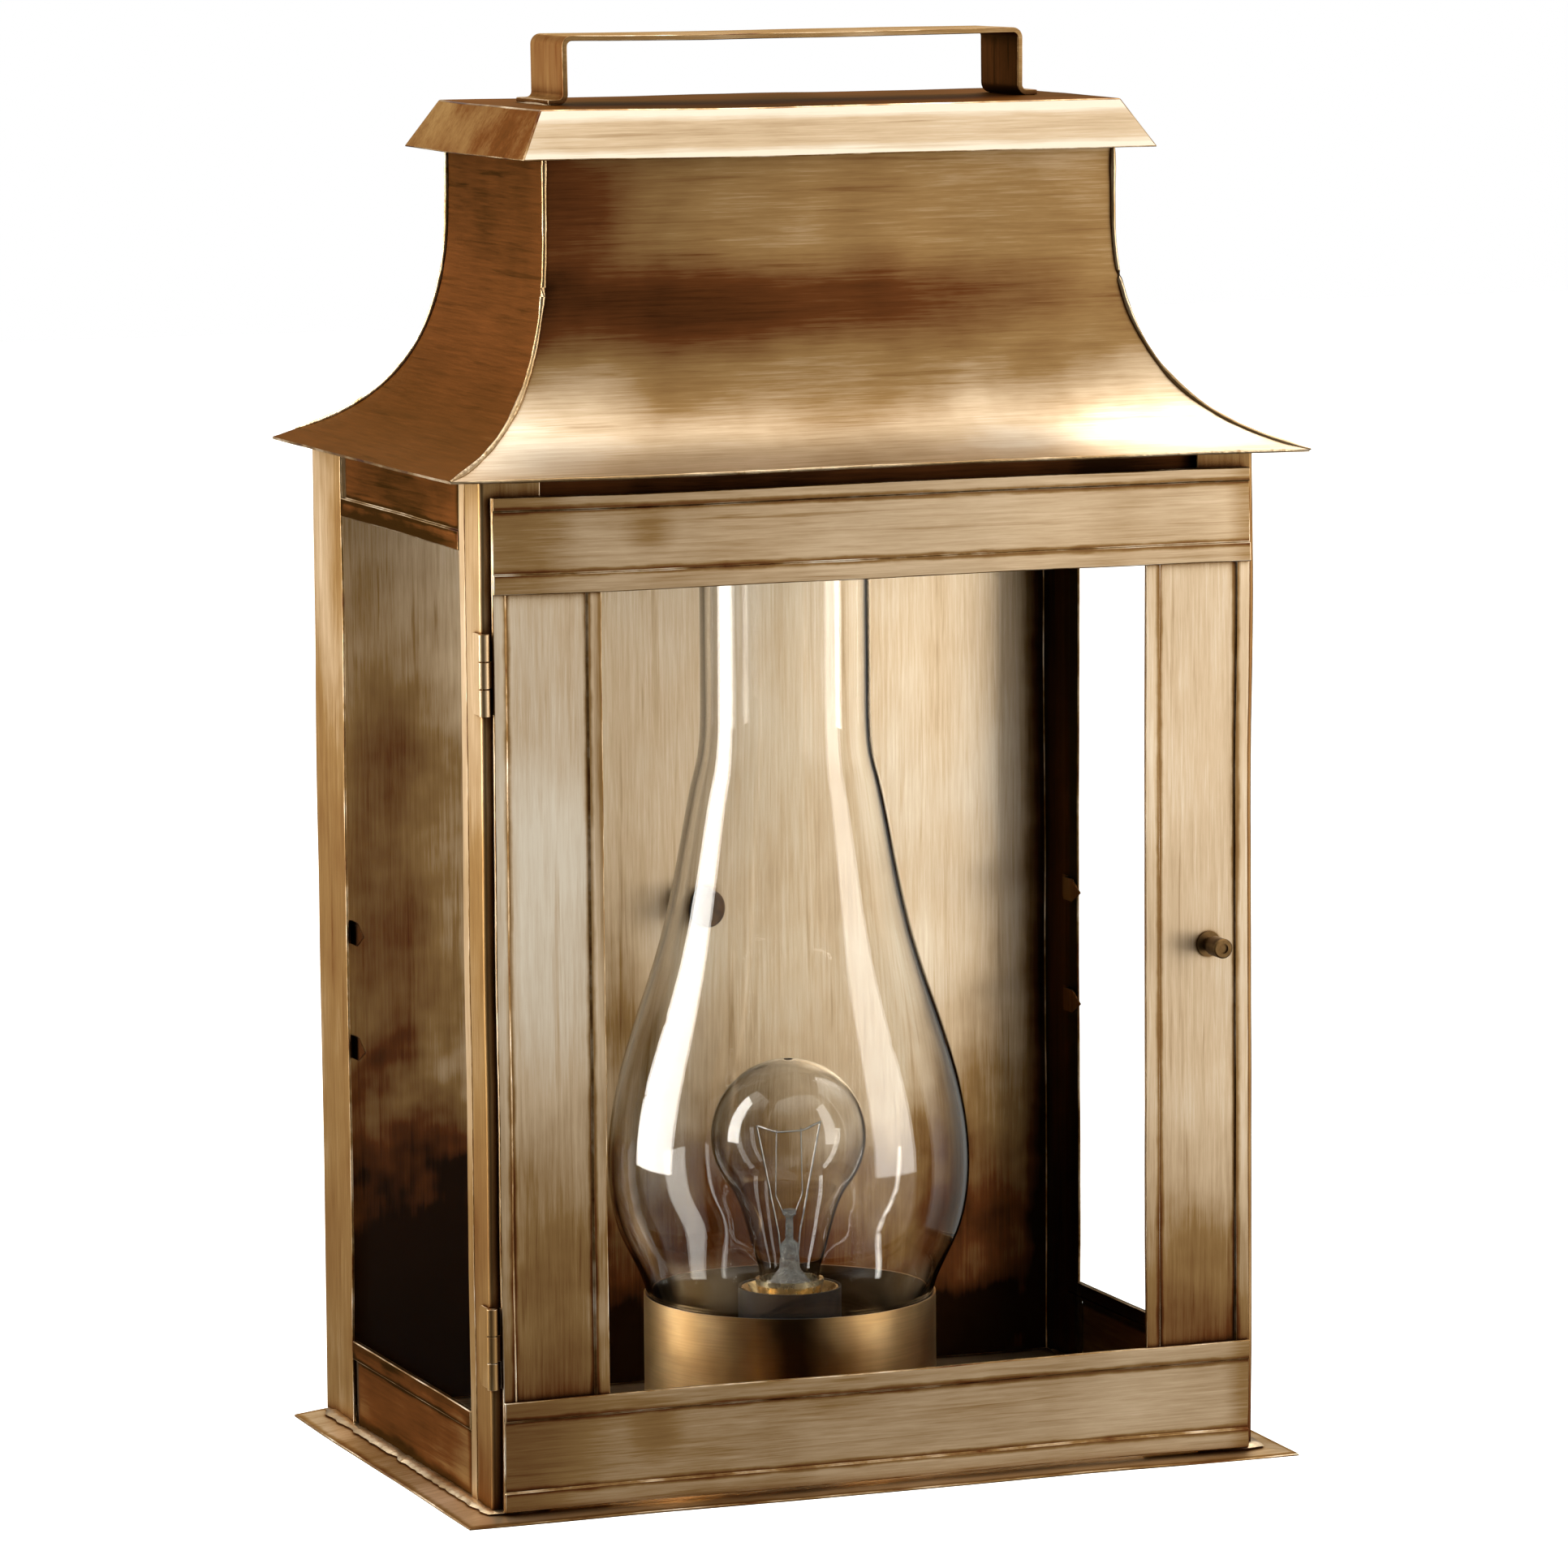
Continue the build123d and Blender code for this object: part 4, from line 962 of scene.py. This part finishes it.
def roof_slope(node, corner, finish, across=44):
    """One bell-cast slope. corner(run, share) gives a point's place in plan."""
    profile = roof_profile()
    inner = inner_profile(profile)
    bm = bmesh.new()
    layers = []
    for outline in (profile, inner):
        rows = []
        for run, height in outline:
            row = []
            for i in range(across + 1):
                x, y = corner(run, i / across)
                point = Vector((x, y, height))
                row.append(bm.verts.new(keep_behind_wall(point + hand_wave(point))))
            rows.append(row)
        layers.append(rows)
    outer, inside = layers
    last = len(profile) - 1
    for r in range(last):
        for i in range(across):
            bm.faces.new((outer[r][i], outer[r][i + 1], outer[r + 1][i + 1], outer[r + 1][i]))
            bm.faces.new((inside[r][i], inside[r + 1][i], inside[r + 1][i + 1], inside[r][i + 1]))
    rim = []
    for r in range(last):
        for i in (0, across):
            rim.append((outer[r][i], outer[r + 1][i], inside[r + 1][i], inside[r][i]))
    for i in range(across):
        for r in (0, last):
            rim.append((outer[r][i], outer[r][i + 1], inside[r][i + 1], inside[r][i]))
    for corners in rim:
        bm.faces.new(corners).material_index = EDGE_SLOT
    weld(bm)
    mesh_data = mesh_from(bm, node + "_sheet")
    piece = place(mesh_data, node + "_sheet", node, "lantern",
                  [finish, worn_edge()])
    smooth_by_angle(mesh_data)
    return piece


def neck_plan():
    """Half width, front and back of the roof's upright neck."""
    run = high("roof_right").x - low("roof_right").x - SHEET
    half = high("roof_right").x - run
    front = low("roof_front").y + run
    back = low("roof_rear").y + SHEET
    return half, front, back


def make_roof_slopes():
    """The four bell-cast slopes, cut off at the wall."""
    half, front, back = neck_plan()

    def across_x(share, reach):
        return -reach + 2 * reach * share

    def to_front(run, share):
        return across_x(share, half + run), front - run

    def to_rear(run, share):
        run = min(run, -back)
        return across_x(share, half + run), back + run

    def to_side(side):
        def plan(run, share):
            near = front - run
            far = min(back + run, 0.0)
            return side * (half + run), near + (far - near) * share
        return plan

    front_marks_and_highlights = [
        ((0.36, 0.85, 0.48), (0.46, 1.5, 0.17), 0.38),
        ((0.12, 0.9, 1.0), (0.22, 1.5, 0.55), 0.4),
        ((0.08, 0.9, 0.6), (0.16, 1.5, 0.3), 0.16),
        # painted highlight: these three raise the wear along the eave's flare, where the overhead
        # light catches it
        ((0.1, 0.9, 0.02), (0.35, 2.0, 0.26), -0.34),
        ((0.5, 0.9, 0.02), (0.25, 2.0, 0.2), -0.1),
        ((0.88, 0.9, 0.02), (0.35, 2.0, 0.28), -0.4),
    ]
    roof_slope("roof_front", to_front,
               brushed_brass("roof_front", "across", wear=0.56, stains=front_marks_and_highlights, change=0.22))
    roof_slope("roof_rear", to_rear, brushed_brass("roof_rear", "across", wear=0.62))
    side_stains = [((0.5, 0.55, 0.9), (0.9, 0.5, 0.42), 0.2)]
    for side, label in SIDES:
        node = "roof_" + label
        # painted shade: the side slopes take a far darker brass than the front and the rear slopes
        finish = brushed_brass(node, "deep", wear=0.22, stains=side_stains, change=0.12)
        roof_slope(node, to_side(side), finish, across=32)


def make_roof_seams():
    """Solder along the four hips, and the bright front edge of the eave."""
    half, front, back = neck_plan()
    profile = roof_profile()
    lift = 0.25 * MM
    for side, label in SIDES:
        for name, line, way in (("front", front, -1), ("rear", back, 1)):
            route = []
            for run, height in profile:
                y = line + way * (run + lift)
                if y > 0:
                    break
                point = Vector((side * (half + run + lift), y, height))
                route.append(point + hand_wave(point))
            solder_run(f"hip_seam_{name}_{label}", route, sizes().seam_width, lumps=0.35,
                       flat=1.0, seed=5.0 * side)

    reach = high("roof_front").x - 1.5 * MM
    edge_y = low("roof_front").y + 0.4 * MM
    edge_z = profile[-1].y - 0.3 * MM
    eave_line = straight_route([(-reach, edge_y, edge_z), (reach, edge_y, edge_z)], spacing=0.006)
    solder_run("eave_edge", eave_line, 0.0016, lumps=0.3, flat=0.9)


def make_roof():
    """Roof slopes and their seams, the flat frame under them and the header over the door."""
    make_roof_slopes()
    make_roof_seams()
    folded("top_frame", brushed_brass("top_frame", "across", wear=0.4), radius=0.0002)
    dark = [((0.5, 0.5, 0.5), (0.8, 2.0, 2.0), 0.4)]
    folded("header", brushed_brass("header", "across", wear=0.4, stains=dark), radius=0.0003)


def make_cap():
    """Vent cap with a dark top, its hidden brackets, and the strap handle."""
    # painted shade: the sloping sides take a far darker copy of the front's brass
    slope = brushed_brass("cap", "upright", wear=0.27, name="cap_sides_brass", change=0.5)
    top = brushed_brass("cap", "across", wear=0.18, name="cap_top_brass", change=0.3)
    rubbed = [
        ((0.5, 0.5, 0.0), (3.0, 3.0, 0.1), -0.3),
        ((0.5, 0.5, 0.95), (3.0, 3.0, 0.08), -0.3),
    ]
    front = brushed_brass("cap", "across", wear=0.79, stains=rubbed, change=0.15)
    folded("cap", front, radius=0.0006, sides=slope, tops=top)
    folded("cap_brackets", brushed_brass("cap_brackets", "upright", wear=0.4), wavy=False)
    leg = brushed_brass("handle", "upright", wear=0.38, name="handle_legs_brass")
    shaded = brushed_brass("handle", "upright", wear=0.08, name="handle_shaded_brass", change=0.1)
    folded("handle", brushed_brass("handle", "across", wear=0.55), radius=0.0003,
           sides=leg, inside=shaded)
    foot = low("handle").z
    for side, label in SIDES:
        x = side * (high("handle").x - 0.6 * MM)
        route = straight_route([(x, low("handle").y, foot), (x, high("handle").y, foot)])
        solder_run("handle_seam_" + label, route, 0.0022, flat=0.6, seed=2.0 * side)


# ---------------------------------------------------------------- door and its hardware
def make_door():
    """Hemmed rails and stiles, brushed along their length, round the door's glass."""
    hem = sizes().hem_radius
    groove = sizes().rail_hem
    edge_groove = sizes().edge_hem
    inner_groove = sizes().stile_hem
    rail_stains = [
        ((0.0, 0.5, 0.5), (0.12, 2.0, 1.5), 0.2),
        ((1.0, 0.5, 0.5), (0.03, 2.0, 1.5), 0.14),
        ((0.2, 0.5, 0.62), (0.04, 2.0, 0.3), 0.12),
        ((0.9, 0.5, 0.5), (0.3, 2.0, 1.5), -0.07),
    ]
    for rail, wear, hems in (("door_top_rail", 0.68, (groove, edge_groove)),
                             ("door_bottom_rail", 0.63, (groove, groove))):
        finish = brushed_brass(rail, "across", wear=wear, stains=rail_stains, change=0.16,
                               creases={"Z": hems})
        folded(rail, finish, radius=hem)
    tips = [
        ((0.5, 0.5, 0.0), (1.5, 2.0, 0.3), 0.53),
        ((0.5, 0.5, 1.0), (1.4, 2.0, 0.08), 0.2),
    ]
    left_stains = [
        # partly dirt, partly painted shade: this darkens the upper part of the inner hem
        ((1.0, 0.5, 0.8), (0.08, 2.0, 0.5), 0.35),
        ((0.5, 0.5, 0.62), (0.8, 2.0, 0.2), -0.18),
        ((0.5, 0.5, 0.32), (1.5, 2.0, 0.12), 0.2),
    ]
    for stile, more, hems in (("door_stile_left", left_stains, (edge_groove, inner_groove)),
                              ("door_stile_right", [], (inner_groove, edge_groove))):
        finish = brushed_brass(stile, "upright", wear=0.82, stains=tips + more, change=0.18,
                               creases={"X": hems})
        folded(stile, finish, radius=hem)
    finish_node("door_glass", sheet_glass())
    finish_node("door_glass_clips", brushed_brass("door_glass_clips", "upright", wear=0.4))


def make_hinges():
    """Two butt hinges with rubbed pins."""
    for hinge in ("upper", "lower"):
        for leaf in ("hinge_post_leaf_", "hinge_door_leaf_"):
            node = leaf + hinge
            folded(node, brushed_brass(node, "upright", wear=0.55), radius=0.00025, wavy=False)
        finish_node("hinge_pin_" + hinge, worn_edge())


def make_latch():
    """Turn latch of darker brass."""
    dark_brass = plain_metal("latch_brass", (0.2, 0.115, 0.045), roughness=0.32)
    for node in ("latch_knob", "latch_washer", "latch_spindle", "latch_tongue"):
        finish_node(node, dark_brass)


# ---------------------------------------------------------------- lamp
def make_chimney():
    """Brass ring with painted shade across its front and inside, its black floor, and the blown
    glass it holds.
    """
    ring = turned_brass("ring_brass", (0.68, 0.45, 0.21), (0.5, 0.3, 0.12), roughness=0.26,
                        dark="chimney_cup_ring")
    finish_node("chimney_cup_ring", ring)
    floor = turned_brass("cup_floor_brass", (0.04, 0.02, 0.008), (0.02, 0.01, 0.004),
                         roughness=0.4)
    finish_node("chimney_cup_floor", floor)
    clear = blown_glass("chimney_clear", colours().clear, ripple=0.00035)
    turned("chimney_glass", clear, sizes().chimney_steps)


def make_socket():
    """Dark socket with bright contacts, on its steel pipe."""
    finish_node("socket_body", moulded("socket_porcelain", colours().porcelain, roughness=0.5))
    bright = plain_metal("socket_brass", (0.78, 0.55, 0.26), roughness=0.22)
    for node in ("socket_screw_shell", "socket_centre_contact", "socket_terminal_screws"):
        finish_node(node, bright)
    steel = plain_metal("plated_steel", (0.5, 0.49, 0.47), roughness=0.3)
    for node in ("lamp_pipe", "pipe_nuts"):
        finish_node(node, steel)


def make_bulb():
    """Clear bulb, whose stem, wires and filament show through the glass."""
    clear = blown_glass("bulb_clear", (0.99, 0.99, 0.99), ripple=0.0001, shine=1.0)
    turned("bulb_glass", clear, sizes().bulb_steps)
    finish_node("bulb_stem", stem_glass())
    finish_node("bulb_screw_cap", plain_metal("bulb_cap_brass", (0.72, 0.6, 0.38), roughness=0.2))
    wire = plain_metal("bulb_wire", (0.85, 0.83, 0.78), roughness=0.12)
    for node in ("bulb_support_wires", "bulb_filament"):
        finish_node(node, wire)
    finish_node("bulb_contact", plain_metal("contact_tin", (0.6, 0.6, 0.58), roughness=0.3))
    black = moulded("bulb_insulator_black", (0.01, 0.01, 0.012), roughness=0.2)
    finish_node("bulb_insulator", black)


def make_mounting():
    """Knob that holds the lantern to the wall, its seal, and the bushing for the leads."""
    dark_brass = plain_metal("mounting_knob_brass", (0.13, 0.065, 0.024), roughness=0.34)
    finish_node("mounting_knob", dark_brass)
    rubber = moulded("black_rubber", (0.018, 0.017, 0.016), roughness=0.6)
    finish_node("mounting_seal", rubber)
    finish_node("wire_bushing", rubber)


# ---------------------------------------------------------------- studio
def studio_sky():
    """White paper straight ahead; for the metal, a room with dark and bright bands."""
    world = bpy.data.worlds.new("studio")
    bpy.context.scene.world = world
    world.use_nodes = True
    tree = world.node_tree
    background = next(n for n in tree.nodes if n.type == "BACKGROUND")
    direction = new_node(tree, "TexCoord").outputs["Generated"]
    places = split_axes(tree, direction)
    height = places[2]

    def bands(stops):
        """Brightness of the room by height, from -1 below to 1 above."""
        node = new_node(tree, "ValToRGB")
        tree.links.new(maths(tree, "MULTIPLY_ADD", height, 0.5, 0.5), node.inputs[0])
        elements = node.color_ramp.elements
        while len(elements) < len(stops):
            elements.new(0.5)
        for element, (at, level) in zip(elements, stops):
            element.position = at / 2 + 0.5
            element.color = (level, level * 0.97, level * 0.92, 1.0)
        return node.outputs[0]

    before = bands([(-1.0, 0.1), (-0.5, 0.2), (-0.22, 0.7), (0.05, 0.95), (0.25, 0.25),
                    (0.6, 0.15), (0.78, 1.3), (1.0, 1.8)])
    behind = bands([(-1.0, 0.05), (-0.3, 0.12), (0.0, 0.2), (0.25, 0.2), (0.5, 1.3),
                    (0.7, 1.8), (1.0, 1.8)])
    room = blend_colours(tree, ramp(tree, places[1], -0.15, 0.25), before, behind)
    shade = vector_maths(tree, "DOT_PRODUCT", direction, (-0.64, -0.77, 0.0), output=1)
    room = blend_colours(tree, ramp(tree, shade, 0.68, 0.85, 0.0, 0.85), room, (0.03, 0.027, 0.022))
    path = new_node(tree, "LightPath")
    bounced = maths(tree, "ADD", path.outputs["Diffuse Depth"], path.outputs["Glossy Depth"])
    straight = maths(tree, "SUBTRACT", 1.0, maths(tree, "MINIMUM", bounced, 1.0))
    through = maths(tree, "MULTIPLY", path.outputs["Is Transmission Ray"], straight)
    direct = maths(tree, "MAXIMUM", path.outputs["Is Camera Ray"], through)
    seen = blend_colours(tree, direct, room, (1.0, 1.0, 1.0))
    seen = blend_colours(tree, through, seen, (1.45, 1.45, 1.45))
    tree.links.new(seen, background.inputs["Color"])
    background.inputs["Strength"].default_value = bpy.context.scene.lantern_studio.ambient


def way_out(azimuth, elevation):
    """Direction from the lantern at a side angle and a height angle; its front is at 0."""
    return Vector((sin(azimuth) * cos(elevation), -cos(azimuth) * cos(elevation), sin(elevation)))


def soft_box(name, azimuth, elevation, distance, width, height, power, aim=None):
    """Rectangular lamp of so many watts that faces the lantern, or the point aim.

    Its direction is in degrees, and its distance, width and height are in metres.
    """
    lamp = bpy.data.lights.new(name, "AREA")
    lamp.shape = "RECTANGLE"
    lamp.size = width
    lamp.size_y = height
    lamp.energy = power
    lamp.color = (1.0, 0.97, 0.93)
    piece = bpy.data.objects.new(name, lamp)
    bpy.context.scene.collection.objects.link(piece)
    out = way_out(radians(azimuth), radians(elevation))
    target = Vector(aim) if aim else MIDDLE
    piece.location = target + out * distance
    piece.rotation_mode = "QUATERNION"
    piece.rotation_quaternion = (-out).to_track_quat("-Z", "Y")
    piece.visible_camera = False
    return piece


def make_floor():
    """Pale floor well below the lantern, which hangs on a wall."""
    reach = 12.0
    level = CAD_LOW.z - bpy.context.scene.lantern_studio.drop
    corners = [(-reach, -reach, level), (reach, -reach, level), (reach, reach, level),
               (-reach, reach, level)]
    floor = bpy.data.meshes.new("floor")
    floor.from_pydata(corners, [], [(0, 1, 2, 3)])
    ground = bpy.data.objects.new("floor", floor)
    bpy.context.scene.collection.objects.link(ground)
    material, tree, shader, position = start_material("floor_paper")
    speck = ramp(tree, clouds(tree, position, 3.0, detail=2.0), 0.2, 0.8)
    paper = colours().paper
    faint = tuple(c * 0.985 for c in paper)
    tree.links.new(blend_colours(tree, speck, paper, faint), shader.inputs["Base Color"])
    tree.links.new(blend_colours(tree, speck, paper, faint), shader.inputs["Emission Color"])
    shader.inputs["Emission Strength"].default_value = 0.75
    shader.inputs["Roughness"].default_value = 0.9
    floor.materials.append(material)
    for ray in ("visible_diffuse", "visible_glossy", "visible_transmission", "visible_shadow"):
        setattr(ground, ray, False)


def make_camera():
    """Camera at the viewing angle, turned a little about its own axis."""
    studio = bpy.context.scene.lantern_studio
    back = way_out(studio.azimuth, studio.elevation)
    right = (-back).cross(Vector((0, 0, 1))).normalized()
    up = right.cross(-back)
    turned_right = right * cos(studio.roll) + up * sin(studio.roll)
    turned_up = up * cos(studio.roll) - right * sin(studio.roll)
    lens = bpy.data.cameras.new("camera")
    lens.lens = studio.lens
    lens.sensor_width = 36.0
    camera = bpy.data.objects.new("camera", lens)
    bpy.context.scene.collection.objects.link(camera)
    turn = Matrix((turned_right, turned_up, back)).transposed().to_4x4()
    stand = MIDDLE + Vector(studio.aim) + back * studio.distance
    camera.matrix_world = Matrix.Translation(stand) @ turn
    bpy.context.scene.camera = camera


def make_studio():
    """Pale sky and floor, three soft boxes, and the camera."""
    bpy.context.scene.view_settings.view_transform = "Standard"
    studio_sky()
    above = (0, LAMP.y, MIDDLE.z + 0.42)
    soft_box("right_box", azimuth=54, elevation=0, distance=1.4, width=0.95, height=1.5,
             power=19.5, aim=above)
    soft_box("left_box", azimuth=-116, elevation=0, distance=1.4, width=0.8, height=1.5,
             power=42, aim=above)
    soft_box("top_box", azimuth=150, elevation=70, distance=1.5, width=1.3, height=0.9,
             power=16)
    make_floor()
    make_camera()


# ---------------------------------------------------------------- operators and panel
class LANTERN_OT_studio(bpy.types.Operator):
    """Make the camera, the floor, the lights and the sky"""

    bl_idname = "lantern.studio"
    bl_label = "Studio"

    def execute(self, context):
        make_studio()
        return {"FINISHED"}


class LANTERN_OT_base(bpy.types.Operator):
    """Make the base plate and the solder round the walls"""

    bl_idname = "lantern.base"
    bl_label = "Base Plate"

    def execute(self, context):
        make_base()
        return {"FINISHED"}


class LANTERN_OT_back_plate(bpy.types.Operator):
    """Make the back plate with its two side flanges"""

    bl_idname = "lantern.back_plate"
    bl_label = "Back Plate"

    def execute(self, context):
        make_back_plate()
        return {"FINISHED"}


class LANTERN_OT_corner_posts(bpy.types.Operator):
    """Make the front posts and the glazing channels"""

    bl_idname = "lantern.corner_posts"
    bl_label = "Corner Posts"

    def execute(self, context):
        make_corner_posts()
        return {"FINISHED"}


class LANTERN_OT_side_walls(bpy.types.Operator):
    """Make the side rails, the side glass and its tabs"""

    bl_idname = "lantern.side_walls"
    bl_label = "Side Walls"

    def execute(self, context):
        make_side_walls()
        return {"FINISHED"}


class LANTERN_OT_roof(bpy.types.Operator):
    """Make the four slopes with soldered hips, the header and the top frame"""

    bl_idname = "lantern.roof"
    bl_label = "Roof"

    def execute(self, context):
        make_roof()
        return {"FINISHED"}


class LANTERN_OT_cap(bpy.types.Operator):
    """Make the vent cap, its brackets and the strap handle"""

    bl_idname = "lantern.cap"
    bl_label = "Cap and Handle"

    def execute(self, context):
        make_cap()
        return {"FINISHED"}


class LANTERN_OT_door(bpy.types.Operator):
    """Make the door's rails, stiles, glass and tabs"""

    bl_idname = "lantern.door"
    bl_label = "Door"

    def execute(self, context):
        make_door()
        return {"FINISHED"}


class LANTERN_OT_hinges(bpy.types.Operator):
    """Make the leaves and pins of both hinges"""

    bl_idname = "lantern.hinges"
    bl_label = "Hinges"

    def execute(self, context):
        make_hinges()
        return {"FINISHED"}


class LANTERN_OT_latch(bpy.types.Operator):
    """Make the door's turn latch"""

    bl_idname = "lantern.latch"
    bl_label = "Latch"

    def execute(self, context):
        make_latch()
        return {"FINISHED"}


class LANTERN_OT_chimney(bpy.types.Operator):
    """Make the brass ring, its floor and the glass chimney"""

    bl_idname = "lantern.chimney"
    bl_label = "Chimney"

    def execute(self, context):
        make_chimney()
        return {"FINISHED"}


class LANTERN_OT_socket(bpy.types.Operator):
    """Make the socket with its shell, pipe and nuts"""

    bl_idname = "lantern.socket"
    bl_label = "Socket"

    def execute(self, context):
        make_socket()
        return {"FINISHED"}


class LANTERN_OT_bulb(bpy.types.Operator):
    """Make the clear bulb with its stem, wires and screw cap"""

    bl_idname = "lantern.bulb"
    bl_label = "Bulb"

    def execute(self, context):
        make_bulb()
        return {"FINISHED"}


class LANTERN_OT_mounting(bpy.types.Operator):
    """Make the mounting knob, its seal and the wire bushing"""

    bl_idname = "lantern.mounting"
    bl_label = "Mounting"

    def execute(self, context):
        make_mounting()
        return {"FINISHED"}


OPERATORS = (
    LANTERN_OT_studio, LANTERN_OT_base, LANTERN_OT_back_plate, LANTERN_OT_corner_posts,
    LANTERN_OT_side_walls, LANTERN_OT_roof, LANTERN_OT_cap, LANTERN_OT_door, LANTERN_OT_hinges,
    LANTERN_OT_latch, LANTERN_OT_chimney, LANTERN_OT_socket, LANTERN_OT_bulb,
    LANTERN_OT_mounting,
)


class LANTERN_PT_steps(bpy.types.Panel):
    """Lists the steps that finish the lantern."""

    bl_label = "Brass Lantern"
    bl_space_type = "VIEW_3D"
    bl_region_type = "UI"
    bl_category = "Lantern"

    def draw(self, context):
        for step in OPERATORS:
            self.layout.operator(step.bl_idname)


CLASSES = [LanternSizes, LanternColours, StudioSettings, *OPERATORS, LANTERN_PT_steps]


def register():
    for each in CLASSES:
        bpy.utils.register_class(each)
    bpy.types.Scene.lantern_sizes = PointerProperty(type=LanternSizes)
    bpy.types.Scene.lantern_colours = PointerProperty(type=LanternColours)
    bpy.types.Scene.lantern_studio = PointerProperty(type=StudioSettings)


def unregister():
    del bpy.types.Scene.lantern_studio
    del bpy.types.Scene.lantern_colours
    del bpy.types.Scene.lantern_sizes
    for each in reversed(CLASSES):
        bpy.utils.unregister_class(each)


def main():
    register()
    for step in OPERATORS:
        name = step.bl_idname.removeprefix("lantern.")
        getattr(bpy.ops.lantern, name)()


if __name__ == "__main__":
    main()
